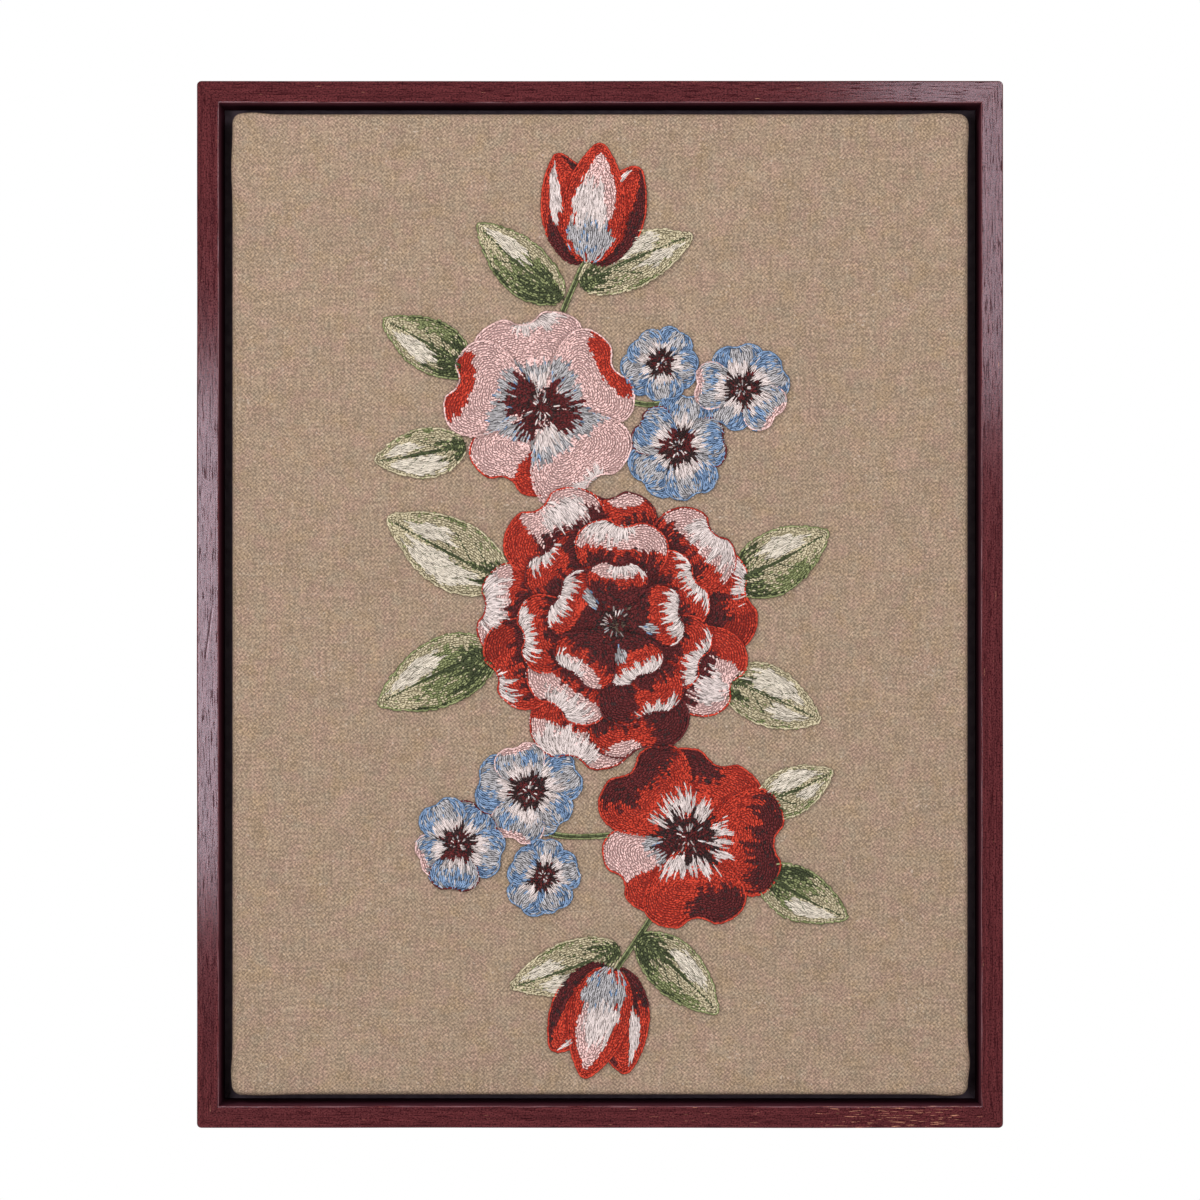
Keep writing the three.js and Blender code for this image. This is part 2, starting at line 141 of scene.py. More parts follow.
class Net:
    def __init__(self, owner):
        owner.use_nodes = True
        self.owner = owner
        self.tree = owner.node_tree
        self.tree.nodes.clear()

    # A socket is given by its name, or by its number after an i
    def node(self, kind, settings=None, **inputs):
        made = self.tree.nodes.new(kind)
        for key, value in (settings or {}).items():
            setattr(made, key, value)
        for key, value in inputs.items():
            numbered = key[0] == "i" and key[1:].isdigit()
            self.feed(made.inputs[int(key[1:]) if numbered else key], value)
        return made

    # A colour may be given as its hex code
    def feed(self, target, value):
        if isinstance(value, Signal):
            self.tree.links.new(value.socket, target)
        else:
            target.default_value = linear(value) if isinstance(value, str) else value

    def out(self, made, label=0):
        return Signal(self, made.outputs[label])

    def maths(self, operation, first, second=0.0):
        return self.out(self.node("ShaderNodeMath", {"operation": operation}, i0=first, i1=second))

    def mix(self, factor, first, second, blend="MIX"):
        settings = {"data_type": "RGBA", "blend_type": blend}
        return self.out(self.node("ShaderNodeMix", settings, i0=factor, i6=first, i7=second), 2)

    # Colours laid over each other, each by its own mask
    def layered(self, tone, *layers):
        for mask, colour in layers:
            tone = self.mix(mask, tone, colour)
        return tone

    def grey(self, value):
        return self.out(self.node("ShaderNodeCombineColor", None, i0=value, i1=value, i2=value))

    def smooth(self, value, low, high, start=0.0, end=1.0):
        settings = {"interpolation_type": "SMOOTHSTEP"}
        made = self.node("ShaderNodeMapRange", settings, i0=value, i1=low, i2=high, i3=start, i4=end)
        return self.out(made)

    def between(self, value, low, high, soft):
        return self.smooth(value, low, low + soft) * self.smooth(value, high, high - soft)

    def split(self, vector):
        parts = self.node("ShaderNodeSeparateXYZ", None, i0=vector)
        return [self.out(parts, k) for k in range(3)]

    def map(self, uvName):
        return self.split(self.out(self.node("ShaderNodeUVMap", {"uv_map": uvName})))[:2]

    def place(self, kind="Object"):
        return self.split(self.out(self.node("ShaderNodeTexCoord"), kind))

    def noise(self, x, y, z=0.0, detail=2.0, roughness=0.5):
        where = self.out(self.node("ShaderNodeCombineXYZ", None, i0=x, i1=y, i2=z))
        sizes = {"Scale": 1.0, "Detail": detail, "Roughness": roughness}
        return self.out(self.node("ShaderNodeTexNoise", None, Vector=where, **sizes))

    def bump(self, height, strength, distance):
        made = self.node("ShaderNodeBump", None, Height=height, Strength=strength, Distance=distance)
        return self.out(made)

    def surface(self, **inputs):
        shader = self.node("ShaderNodeBsdfPrincipled")
        for key, value in inputs.items():
            self.feed(shader.inputs[key.replace("_", " ")], value)
        self.node("ShaderNodeOutputMaterial", None, i0=self.out(shader))
        return self.owner


def materialNet(name):
    return Net(bpy.data.materials.new(name))


# Oxblood stained wood: the map runs along the rail and round its section, both in millimetres.
# A flecked stretch is given by its start and end along the map and how many flecks it has.
oxblood = {
    "dark": "502024",
    "light": "682e31",
    "streak": "7a3b3c",
    "shade": "2b0b11",
    "pore": "2a0d12",
    "fleck": "dc9c7c",
    # The next colour is for painted highlights: along the inner arris and beside the scratch
    "paintedHighlight": "c4a0a8",
    "inside": "502c36",
    "face": (31.2, 41.9, 0.9),
    "innerArris": (40.1, 41.0, 0.25),
    "flecked": [(1240, 1322, 0.12), (1322, 1400, 0.035), (-158, -95, 0.04)],
    "fleckFade": 20,
    # The scratch's ridge is how far across the grain a painted highlight lies beside it
    "scratch": {"along": 688.6, "around": 36.5, "lean": 0.133, "half": 12.5, "fade": 5, "ridge": 0.75},
    "sheen": (0.41, 0.64),
    "sheenRoughness": 0.12,
}


def stainedWood():
    net, wood = materialNet("oxbloodWood"), oxblood
    along, around = net.map("grain")
    drift = net.noise(along * 0.012, around * 0.05, detail=3.0)
    band = net.noise(along * 0.02, around * 0.7 + drift * 5.0, detail=4.0, roughness=0.6)
    streak = net.noise(along * 0.06, around * 2.6 + drift * 4.0, detail=3.0, roughness=0.65)
    speck = net.noise(along * 1.3, around * 1.7, roughness=0.7)
    pore = net.smooth(net.noise(along * 0.12, around * 2.1 + drift * 6.0, 3.0, roughness=0.55), 0.56, 0.62)
    peel = net.noise(along * 0.45, around * 0.5, 13.0, roughness=0.6)
    face = net.between(around, *wood["face"])
    arris = net.between(around, *wood["innerArris"])
    inside = net.smooth(around, 40.8, 41.3) * net.smooth(around, 73.0, 72.2)
    fleck = net.noise(along * 0.12, around * 2.4, 9.0, roughness=0.6)
    for start, end, more in wood["flecked"]:
        fleck = fleck + net.between(along, start, end, wood["fleckFade"]) * more
    fleck = net.smooth(fleck, 0.72, 0.77) * net.smooth(speck, 0.3, 0.5) * face
    scratch = wood["scratch"]
    reach = along - scratch["along"]
    aside = around - scratch["around"] - reach * scratch["lean"]
    length = net.smooth(net.maths("ABSOLUTE", reach), scratch["half"], scratch["half"] - scratch["fade"])
    scored = length * net.smooth(net.maths("ABSOLUTE", aside), 0.5, 0.15)
    # Painted highlight: a pale line beside the scratch, at the ridge's distance from it
    scratchHighlight = length * net.smooth(net.maths("ABSOLUTE", aside - scratch["ridge"]), 0.45, 0.15)
    tone = net.layered(
        net.mix(net.smooth(band, 0.3, 0.7), wood["dark"], wood["light"]),
        (net.smooth(streak, 0.45, 0.75) * 0.35, wood["streak"]),
        (net.smooth(speck, 0.52, 0.34) * 0.95, wood["shade"]),
        (net.smooth(speck, 0.54, 0.7) * 0.55, wood["streak"]),
        (pore * 0.7, wood["pore"]),
        (fleck * 0.85, wood["fleck"]),
        (scored * 0.6, wood["pore"]),
        (scratchHighlight * 0.3, wood["paintedHighlight"]),
        # Painted highlight: a pale lilac line along the inner arris, streaky with the grain
        (arris * net.smooth(streak, 0.4, 0.65, 0.0, 0.28), wood["paintedHighlight"]),
        (inside * 0.85, wood["inside"]),
    )
    coat = net.smooth(streak, 0.3, 0.7, *wood["sheen"]) * net.smooth(speck, 0.3, 0.55, 0.8, 1.04)
    coat = coat * (face * 0.65 + 0.35)
    return net.surface(
        Base_Color=tone,
        Roughness=net.smooth(streak, 0.3, 0.8, 0.5, 0.62) + pore * 0.2,
        Specular_IOR_Level=0.0,
        Coat_Weight=coat * (1.0 - pore * 0.85) * (1.0 - scored * 0.75) * (1.0 - inside),
        Coat_Roughness=wood["sheenRoughness"],
        Normal=net.bump(streak * 0.25 + peel * 2.0 - pore * 0.6, 0.3, 0.0001),
    )


# Black ledges, painted a little paler on the side to the viewer as painted light in the shaded gap round the
# panel; that side starts that far from the wall in metres
blackPaint = {
    "ground": ("2e282b", "373034"),
    "speck": "4a4246",
    "front": ("584c52", "675a60"),
    "paintedLightFrom": (-0.0072, -0.0079),
}


def blackWood():
    net, paint = materialNet("blackWood"), blackPaint
    x, y, z = net.place()
    cloud = net.noise(x * 220, y * 220, z * 220, detail=3.0)
    fine = net.noise(x * 900, y * 900, z * 900)
    patch = net.smooth(cloud, 0.3, 0.7)
    tone = net.layered(
        net.mix(patch, *paint["ground"]),
        (net.smooth(fine, 0.55, 0.75) * 0.4, paint["speck"]),
        # Painted light: the side to the viewer is a paler copy of the black paint, lighter than the back and
        # sides
        (net.smooth(y, *paint["paintedLightFrom"]), net.mix(patch, *paint["front"])),
    )
    return net.surface(
        Base_Color=tone,
        Roughness=net.smooth(fine, 0.2, 0.8, 0.7, 0.9),
        Normal=net.bump(cloud * 0.4 + fine * 0.6, 0.4, 0.0002),
    )


tanBoard = {"ground": ("ab8d67", "b0926b"), "fibre": "7c6143", "cross": "d2ba94", "fine": "c9b08a"}


def fibreBoard():
    net, board = materialNet("fibreBoard"), tanBoard
    x, y, z = net.place()
    cloud = net.noise(x * 9, y * 9, z * 9, detail=4.0)
    fibre = net.noise(x * 260, y * 260, z * 760, detail=3.0, roughness=0.7)
    cross = net.noise(x * 820, y * 820, z * 280 + 9.0, detail=3.0, roughness=0.7)
    fine = net.noise(x * 2400, y * 2400, z * 2400, roughness=0.7)
    tone = net.layered(
        net.mix(net.smooth(cloud, 0.2, 0.8), *board["ground"]),
        (net.smooth(fibre, 0.54, 0.68) * 0.6, board["fibre"]),
        (net.smooth(cross, 0.55, 0.68) * 0.55, board["cross"]),
        (net.smooth(fine, 0.5, 0.75) * 0.4, board["fine"]),
    )
    return net.surface(
        Base_Color=tone,
        Roughness=net.smooth(fine, 0.2, 0.8, 0.78, 0.92),
        Normal=net.bump(fibre * 0.4 + fine * 0.6, 0.25, 0.0002),
    )


# Natural linen: the map runs along the weft and the warp, both in millimetres
linenCloth = {
    "pitch": (0.86, 0.83),
    "taupe": "9f8b75",
    "pink": "a48a78",
    "gold": "a08a70",
    "sage": "9c8e79",
    "nep": "d6c6b4",
    "weave": 0.44,
    "grain": 1.9,
    "darkest": 0.68,
}


def naturalLinen():
    net, cloth = materialNet("naturalLinen"), linenCloth
    weft, warp = net.map("weave")
    sway = net.noise(weft * 0.02, warp * 0.02)
    waver = net.noise(weft * 0.16, warp * 0.5, 21.0) - 0.5
    shift = net.noise(weft * 0.5, warp * 0.16, 27.0) - 0.5
    jolt = net.noise(weft * 1.1, warp * 1.1, 61.0, detail=1.0) - 0.5
    jerk = net.noise(weft * 1.1, warp * 1.1, 67.0, detail=1.0) - 0.5
    across = weft + sway * 2.2 + waver * 2.0 + jolt
    upward = warp + sway * 2.0 + shift * 2.0 + jerk
    ridge = net.maths("SINE", across * (math.pi / cloth["pitch"][0]))
    course = net.maths("SINE", upward * (math.pi / cloth["pitch"][1]))
    gauze = net.noise(weft * 0.2, warp * 0.2, 41.0)
    weave = ridge * course * net.smooth(gauze, 0.3, 0.65, 0.45, 1.1)
    warpTone = net.noise(across * 1.1, upward * 0.07, roughness=0.6)
    weftTone = net.noise(across * 0.07, upward * 1.1, 7.0, roughness=0.6)
    thread = net.smooth(warpTone + weftTone, 0.6, 1.4)
    slub = net.smooth(net.noise(across * 0.8, upward * 0.09, 3.0), 0.62, 0.78)
    slub = slub + net.smooth(net.noise(across * 0.09, upward * 0.8, 5.0), 0.62, 0.78)
    grain = net.noise(weft, warp, 11.0, roughness=0.7) - 0.5
    cluster = net.smooth(net.noise(weft * 0.05, warp * 0.09, 71.0), 0.6, 0.72)
    nep = net.smooth(net.noise(weft * 0.75, warp * 0.75, 17.0, detail=1.0) + cluster * 0.1, 0.69, 0.77)
    cloud = net.noise(weft * 0.03, warp * 0.03, 2.0, detail=3.0, roughness=0.55)
    pinkness = net.noise(weft * 0.11, warp * 0.11, 6.0, detail=3.0, roughness=0.6)
    sageness = net.noise(weft * 0.14, warp * 0.14, 33.0, detail=3.0, roughness=0.6)
    goldness = net.noise(weft * 0.09, warp * 0.09, 51.0, detail=3.0, roughness=0.6)
    base = net.layered(
        net.mix(net.smooth(goldness, 0.45, 0.68), cloth["taupe"], cloth["gold"]),
        (net.smooth(pinkness, 0.42, 0.68) * 0.9, cloth["pink"]),
        (net.smooth(sageness, 0.5, 0.7) * 0.55, cloth["sage"]),
    )
    light = 0.74 + thread * 0.5 + weave * cloth["weave"] + grain * cloth["grain"] + (cloud - 0.5) * 0.2
    light = net.maths("MAXIMUM", light, cloth["darkest"]) + net.maths("MAXIMUM", grain, 0.0) * 0.9
    tone = net.mix(1.0, base, net.grey(light), "MULTIPLY")
    return net.surface(
        Base_Color=net.mix(net.maths("MINIMUM", slub * 0.22 + nep * 0.55, 0.8), tone, cloth["nep"]),
        Roughness=net.smooth(thread, 0.0, 1.0, 0.88, 0.97),
        Specular_IOR_Level=0.2,
        Normal=net.bump(thread * 0.35 + weave * 0.6 + grain * 0.5 + slub * 0.4, 0.4, 0.00025),
    )


# Embroidery threads: grains are laid in rows round the shape, satin side by side from its root.
# A spiky thread runs out in points into its neighbours, a blend is a second thread among its stitches, and
# the seam factor darkens stitches beside a seam as painted shade.
longStitch = {"length": 2.5, "pitch": 0.78, "step": 0.56, "seamShade": 0.5, "satin": True, "spiky": True}
threads = {
    "red": {"colour": "da4d35", "blend": ("brick", 0.12)},
    "brick": {"colour": "b43a28", "blend": ("red", 0.25)},
    "maroon": {"colour": "702a2b", "spiky": True, "blend": ("brown", 0.14)},
    "pink": {"colour": "ffdcd6"},
    "cream": {"colour": "ece0db", "length": 3.6, "pitch": 0.6, "satin": True, "spiky": True},
    "greyBlue": {"colour": "c3c1c2", "blend": ("blue", 0.08), **longStitch},
    "blue": {"colour": "8aa6c6", "blend": ("greyBlue", 0.2), **longStitch},
    "brown": {"colour": "412a29", "spiky": True, "blend": ("maroon", 0.2)},
    "olive": {"colour": "d9cfae", "blend": ("green", 0.06)},
    "green": {"colour": "99a171", "spiky": True, "blend": ("olive", 0.16)},
    "darkGreen": {"colour": "515a3a", "spiky": True, "blend": ("green", 0.3)},
    "leafCream": {"colour": "e6decd", "length": 3.2, "pitch": 0.62, "satin": True, "spiky": True},
}
threadNames = list(threads)
threadNumber = {name: k for k, name in enumerate(threadNames)}
threadLight = {"deep": 0.4, "bright": 1.26}


# A stitch's map has its thread and its tone across, and its length up
def threadMaterial():
    net = materialNet("embroideryThread")
    across, along = net.map("OFBake")

    def palette(colours):
        ramp = net.node("ShaderNodeValToRGB", None, i0=across)
        ramp.color_ramp.interpolation = "CONSTANT"
        stops = ramp.color_ramp.elements
        while len(stops) < len(colours):
            stops.new(1.0)
        for k, colour in enumerate(colours):
            stops[k].position = k / len(colours)
            stops[k].color = colour
        return net.out(ramp)

    # Painted shade: deep in a gap a thread is painted darker and fuller in colour
    def deepened(colour):
        fullest = max(colour[:3])
        return (*[c * threadLight["deep"] * (c / fullest) ** 0.5 for c in colour[:3]], 1.0)

    lit = [linear(thread["colour"]) for thread in threads.values()]
    brightest = (*[threadLight["bright"]] * 3, 1.0)
    # Painted light and shade: low tones and a stitch's ends, where it dips into the cloth, take the darker
    # deep colours; high tones take the lit colours, brightened as a painted highlight
    tone = net.maths("FRACT", across * float(len(threads)))
    ends = net.maths("ABSOLUTE", along * 2.0 - 1.0) ** 4.0
    shade = net.smooth(tone, 0.1, 0.86) * (1.0 - ends * 0.8)
    deepTone = palette([deepened(colour) for colour in lit])
    litTone = net.mix(1.0, palette(lit), brightest, "MULTIPLY")
    x, y, z = net.place()
    fuzz = net.noise(x * 2600, y * 2600, z * 2600, roughness=0.7)
    return net.surface(
        Base_Color=net.mix(shade, deepTone, litTone),
        Roughness=net.smooth(tone, 0.0, 1.0, 0.68, 0.52),
        Specular_IOR_Level=0.25,
        Sheen_Weight=0.06,
        Sheen_Roughness=0.4,
        Normal=net.bump(fuzz, 0.3, 0.0001),
    )


woodMaterial = stainedWood()
ledgeMaterial = blackWood()
boardMaterial = fibreBoard()
linenMaterial = naturalLinen()
stitchMaterial = threadMaterial()
print("materials made")

# Rails and ledges: a section with eased arrises swept along each side, mitred, the outer corners rounded.
# A section's first number runs inwards from the frame's outer edge, its second from the wall to the viewer.
frameSpec = {
    "width": 328.0,
    "height": 426.0,
    "corner": 2.0,
    "joint": 0.03,
    "steps": 113,
    "endSteps": (0, 0.0009, 0.002, 0.0034, 0.005, 0.0068, 0.009, 0.0125),
    "sharp": 40,
    "grainShift": 700,
}
railSpec = {"outer": 0.0, "inner": 9.0, "depth": 32.0, "arris": 0.5, "face": 4, "wall": 8, "waver": 0.05}
ledgeSpec = {"outer": 9.02, "inner": 23.3, "depth": 8.0, "arris": 0.4, "face": 3, "wall": 2, "waver": 0.0}


def stripSection(spec):
    low, high, arris = spec["outer"], spec["inner"], spec["arris"]
    turn = np.linspace(0, math.pi / 2, 7)
    inward = arris * (1 - np.cos(turn))
    up = spec["depth"] - arris * (1 - np.sin(turn))
    wall = np.linspace(0, spec["depth"] - arris, spec["wall"] + 1)[:-1]
    outer = np.stack([np.concatenate([np.zeros(len(wall)), inward]), np.concatenate([wall, up])], 1)
    inset = arris + 0.06
    across = np.linspace(low + inset, high - inset, spec["face"])
    face = np.stack([across, np.full(len(across), spec["depth"])], 1)
    back = np.stack([np.linspace(high, low, 5)[1:-1], np.zeros(3)], 1)
    return np.concatenate([outer + (low, 0), face, outer[::-1] * (-1, 1) + (high, 0), back])


def turnedSide(quarter, along, out):
    return {0: (along, out), 1: (-out, along), 2: (-along, -out), 3: (out, -along)}[quarter]


def mitredStrip(name, quarter, spec, material):
    corner, joint = frameSpec["corner"], frameSpec["joint"]
    sizes = (frameSpec["width"], frameSpec["height"])
    length, across = sizes[::-1] if quarter % 2 else sizes
    section = stripSection(spec)
    count = len(section)
    ends = 1 - np.array(frameSpec["endSteps"])
    steps = np.concatenate([-ends, np.linspace(-0.98, 0.98, frameSpec["steps"]), ends[::-1]])[:, None]
    run = steps * (length / 2 - section[:, 0] - joint)
    bow = np.sin(run * 0.021 + quarter * 1.7) + 0.6 * np.sin(run * 0.063 + quarter * 3.4)
    out = across / 2 - section[:, 0] + spec["waver"] * bow * (1 - np.abs(steps) ** 6)
    overX = np.abs(run) - (length / 2 - corner)
    overY = out - (across / 2 - corner)
    beyond = np.hypot(overX, overY)
    rounded = (overX > 0) & (overY > 0) & (beyond > corner)
    shrink = corner / np.maximum(beyond, 1e-9)
    along = np.where(rounded, np.sign(run) * (length / 2 - corner + overX * shrink), run)
    out = np.where(rounded, across / 2 - corner + overY * shrink, out)
    level = np.broadcast_to(section[:, 1], along.shape)
    points = np.stack([*turnedSide(quarter, along, out), level], -1).reshape(-1, 3)
    ring = np.arange(count)
    ahead = (ring + 1) % count
    rows = np.arange(len(steps) - 1)[:, None] * count
    quads = np.stack([rows + ring, rows + ahead, rows + count + ahead, rows + count + ring], -1)
    faces = [quads.reshape(-1, 4)]
    heart = section.mean(0)
    for sign, first in ((-1, 0), (1, (len(steps) - 1) * count)):
        spot = turnedSide(quarter, sign * (length / 2 - heart[0] - joint), across / 2 - heart[0])
        centre = len(points)
        points = np.vstack([points, [*spot, heart[1]]])
        pairs = np.stack([first + ring, first + ahead], 1)[:, ::sign]
        faces.append(np.column_stack([pairs, np.full(count, centre), np.full(count, -1)]))
    shift = quarter * frameSpec["grainShift"]
    girth = np.broadcast_to(runAlong(section), run.shape)
    grain = np.vstack([np.stack([(run + shift).ravel(), girth.ravel()], 1), [[shift, 4]] * 2])
    made = meshPiece(name, points, np.vstack(faces), material, "grain", grain)
    made.data.set_sharp_from_angle(angle=math.radians(frameSpec["sharp"]))
    return made


for quarter, side in enumerate(("top", "left", "bottom", "right")):
    for prefix, spec, material, slotName in (
        ("rail", railSpec, woodMaterial, "stained_wood"),
        ("ledge", ledgeSpec, ledgeMaterial, "black_wood"),
    ):
        strip = mitredStrip(prefix + side.capitalize(), quarter, spec, material)
        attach(strip, "root")
        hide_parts(f"{prefix}_{side}")
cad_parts["board"].data.materials.clear()
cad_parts["board"].data.materials.append(boardMaterial)
print("frame dressed")

# Linen: one sheet over the board, its corners pleated and its margin turned over at the back
linenSpec = {
    "width": 300.0,
    "height": 400.0,
    "front": 28.9,
    "back": 8.35,
    "corner": 3.5,
    "edge": 2.4,
    "turnOver": 28.0,
    "thickness": 0.8,
    "columns": 41,
    "rows": 55,
    "foldDepth": 0.5,
    "foldHalf": 1.6,
}
pleats = table(
    "side end inset out length",
    ("right", -1, 13, 1.0, 6),
    ("right", 1, 7, 0.5, 6),
    ("left", 1, 22, 0.5, 9),
    ("left", -1, 9, 0.6, 6),
    ("top", -1, 8, 0.8, 6),
    ("top", 1, 11, 0.5, 8),
    ("bottom", 1, 8, 0.6, 6),
    ("bottom", -1, 12, 0.4, 9),
)


def roundedCorners(x, y, halfWidth, halfHeight, radius):
    overX = np.abs(x) - (halfWidth - radius)
    overY = np.abs(y) - (halfHeight - radius)
    inCorner = (overX > 0) & (overY > 0)
    reach = np.maximum(overX, overY)
    size = np.maximum(np.hypot(overX, overY), 1e-9)
    newX = np.sign(x) * (halfWidth - radius + overX * reach / size)
    newY = np.sign(y) * (halfHeight - radius + overY * reach / size)
    return np.where(inCorner, newX, x), np.where(inCorner, newY, y)


def pleatPush(x, y, halfWidth, halfHeight):
    pushX, pushY = np.zeros_like(x), np.zeros_like(y)
    for pleat in pleats:
        upright = pleat["side"] in ("left", "right")
        sign = 1 if pleat["side"] in ("right", "top") else -1
        along, half = (y, halfHeight) if upright else (x, halfWidth)
        out, far = (x, halfWidth) if upright else (y, halfHeight)
        offset = along - pleat["end"] * (half - pleat["inset"])
        swellOut = pleat["out"] * np.exp(-((offset / pleat["length"]) ** 2))
        near = np.clip((sign * out - far + 1.5) / 1.5, 0, 1)
        if upright:
            pushX += sign * swellOut * near
        else:
            pushY += sign * swellOut * near
    return pushX, pushY


# Steps over the front, close together beside its edges
def edgeSteps(half, coarse):
    near = np.array([0, 0.5, 1.0, 1.6, 2.3, 3.2, 4.4, 6, 8, 10, 12.5, 15, 18, 22, 27])
    inner = np.linspace(-(half - 33), half - 33, coarse)
    return np.concatenate([-half + near, inner, (half - near)[::-1]])


# The rings from the front's edge round to the back: how far in each lies, its level,
# its share of the pleats and its run over the cloth
def linenRings():
    spec = linenSpec
    front, back, edge = spec["front"], spec["back"], spec["edge"]
    side = front - back - 2 * edge
    turnRun = edge * math.pi / 2
    rings = []
    for angle in np.radians(np.linspace(0, 90, 7))[1:]:
        c, n = math.cos(angle), math.sin(angle)
        rings.append((edge * (1 - n), front - edge * (1 - c), n, edge * angle))
    for k in range(1, 5):
        rings.append((0, front - edge - side * k / 4, 1.0, turnRun + side * k / 4))
    for angle in np.radians(np.linspace(0, 90, 7))[1:]:
        c, n = math.cos(angle), math.sin(angle)
        rings.append((edge * (1 - c), back + edge * (1 - n), c, turnRun + side + edge * angle))
    for inset in np.linspace(edge, spec["turnOver"], 9)[1:]:
        rings.append((inset, back, 0.0, 2 * turnRun + side + inset - edge))
    return rings


def makeLinen():
    spec = linenSpec
    halfWidth, halfHeight, edge = spec["width"] / 2, spec["height"] / 2, spec["edge"]
    flatWidth, flatHeight = halfWidth - edge, halfHeight - edge
    xs, ys = edgeSteps(halfWidth, spec["columns"]), edgeSteps(halfHeight, spec["rows"])
    unitX, unitY = np.meshgrid(xs / halfWidth, ys / halfHeight, indexing="ij")
    radius = spec["corner"] - edge
    x, y = roundedCorners(unitX * flatWidth, unitY * flatHeight, flatWidth, flatHeight, radius)
    ripple = 0.07 * np.sin(x * 0.043 + 1) * np.sin(y * 0.037) + 0.05 * np.sin(x * 0.11 + y * 0.07)
    fade = (1 - np.abs(unitX) ** 8) * (1 - np.abs(unitY) ** 8)
    points = [np.stack([x, y, spec["front"] + ripple * fade - 0.06], -1).reshape(-1, 3)]
    maps = [np.stack([x, y], -1).reshape(-1, 2)]
    quads = [gridQuads(*x.shape)]
    index = np.arange(x.size).reshape(x.shape)
    border = np.concatenate([index[:-1, 0], index[-1, :-1], index[:0:-1, -1], index[0, :0:-1]])
    edgeX, edgeY = unitX.ravel()[border], unitY.ravel()[border]
    onSide, onEnd = np.abs(edgeX) > 0.999, np.abs(edgeY) > 0.999
    previous = border
    for inset, level, bulge, run in linenRings():
        w, h = halfWidth - inset, halfHeight - inset
        ringX, ringY = roundedCorners(edgeX * w, edgeY * h, w, h, max(spec["corner"] - inset, 0.4))
        pushX, pushY = pleatPush(edgeX * w, edgeY * h, w, h)
        onBack = min(max(inset - edge, 0) / 8, 1) if bulge < 0.01 else 0
        wander = 0.5 * np.sin(ringX * 0.19 + ringY * 0.13) + 0.35 * np.sin(ringX * 0.61 - ringY * 0.53)
        wander = onBack * wander
        diagonal = (np.abs(edgeX) * w - w) - (np.abs(edgeY) * h - h)
        fold = spec["foldDepth"] * np.exp(-((diagonal / spec["foldHalf"]) ** 2))
        fold = min(max(inset - 11, 0) / 4, 1) * fold
        ringX = ringX + bulge * pushX - np.sign(ringX) * onSide * wander
        ringY = ringY + bulge * pushY - np.sign(ringY) * onEnd * wander
        ring = sum(map(len, points)) + np.arange(len(border))
        points.append(np.stack([ringX, ringY, np.full_like(ringX, level) - fold], -1))
        mapX = np.where(onSide, np.sign(edgeX) * (flatWidth + run), edgeX * flatWidth)
        mapY = np.where(onEnd, np.sign(edgeY) * (flatHeight + run), edgeY * flatHeight)
        maps.append(np.stack([mapX, mapY], -1))
        quads.append(np.stack([previous, ring, np.roll(ring, -1), np.roll(previous, -1)], -1))
        previous = ring
    points, quads, maps = map(np.concatenate, (points, quads, maps))
    made = meshPiece("linenSheet", points, quads, linenMaterial, "weave", maps)
    thick = made.modifiers.new("thickness", "SOLIDIFY")
    thick.thickness = spec["thickness"] / 1000
    thick.offset = -1
    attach(made, "root")
    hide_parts("linen")
    return made


linenSheet = makeLinen()
print("linen stretched")

# The spray, from the same values as the solids. Turns are in degrees, 0 to the right and 90 up.
# On a petal s runs from its root to its tip, and v across it from -1 to 1.
petalForms = {
    "peony": (0.85, 0.42),
    "rose": (1.0, 0.42),
    "blue": (0.9, 0.45),
    "tulip": (0.55, 0.8),
    "leaf": (0.75, 0.95),
}
uneven = {"turn": 5, "length": 0.07, "width": 0.09, "lift": 0.1}
stitchBack = 29.0


def swell(form, s):
    belly, tip = petalForms[form]
    widest = belly / (belly + tip)
    s = np.clip(s, 0, 1)
    return s**belly * (1 - s) ** tip / (widest**belly * (1 - widest) ** tip)


def makePetal(x, y, turn, length, width, form, recipe, bend=0.0, notch=0.0, lift=0.0):
    petal = {"x": x, "y": y, "turn": math.radians(turn), "length": length, "width": width, "form": form}
    return {**petal, "recipe": recipe, "bend": bend, "notch": notch, "lift": lift}


def notchDip(petal, s, v):
    return 1 - petal["notch"] * s**3 * np.maximum(0, 1 - (v / 0.7) ** 2)


def petalPoint(petal, s, v):
    across = v * petal["width"] * swell(petal["form"], s) / 2 + petal["bend"] * petal["length"] * s * s
    along = petal["length"] * s * notchDip(petal, s, v)
    c, n = math.cos(petal["turn"]), math.sin(petal["turn"])
    return np.stack([petal["x"] + along * c - across * n, petal["y"] + along * n + across * c], -1)


def petalPlace(petal, points):
    dx, dy = points[..., 0] - petal["x"], points[..., 1] - petal["y"]
    c, n = math.cos(petal["turn"]), math.sin(petal["turn"])
    along, across = dx * c + dy * n, dy * c - dx * n
    s = along / petal["length"]
    for _ in range(3):
        half = np.maximum(petal["width"] * swell(petal["form"], s) / 2, 1e-3)
        v = (across - petal["bend"] * petal["length"] * s * s) / half
        s = along / (petal["length"] * notchDip(petal, np.clip(s, 0, 1), v))
    return s, v


def petalCovers(petal, points):
    s, v = petalPlace(petal, points)
    return (s > 0.04) & (s < 0.975) & (np.abs(v) < 0.96)


def petalHeight(petal, s, v):
    crown = 0.3 + 0.55 * (1 - np.clip(v, -1, 1) ** 2) * np.sqrt(np.sin(np.pi * np.clip(s, 0.01, 0.99)))
    return stitchBack + crown + petal["lift"]


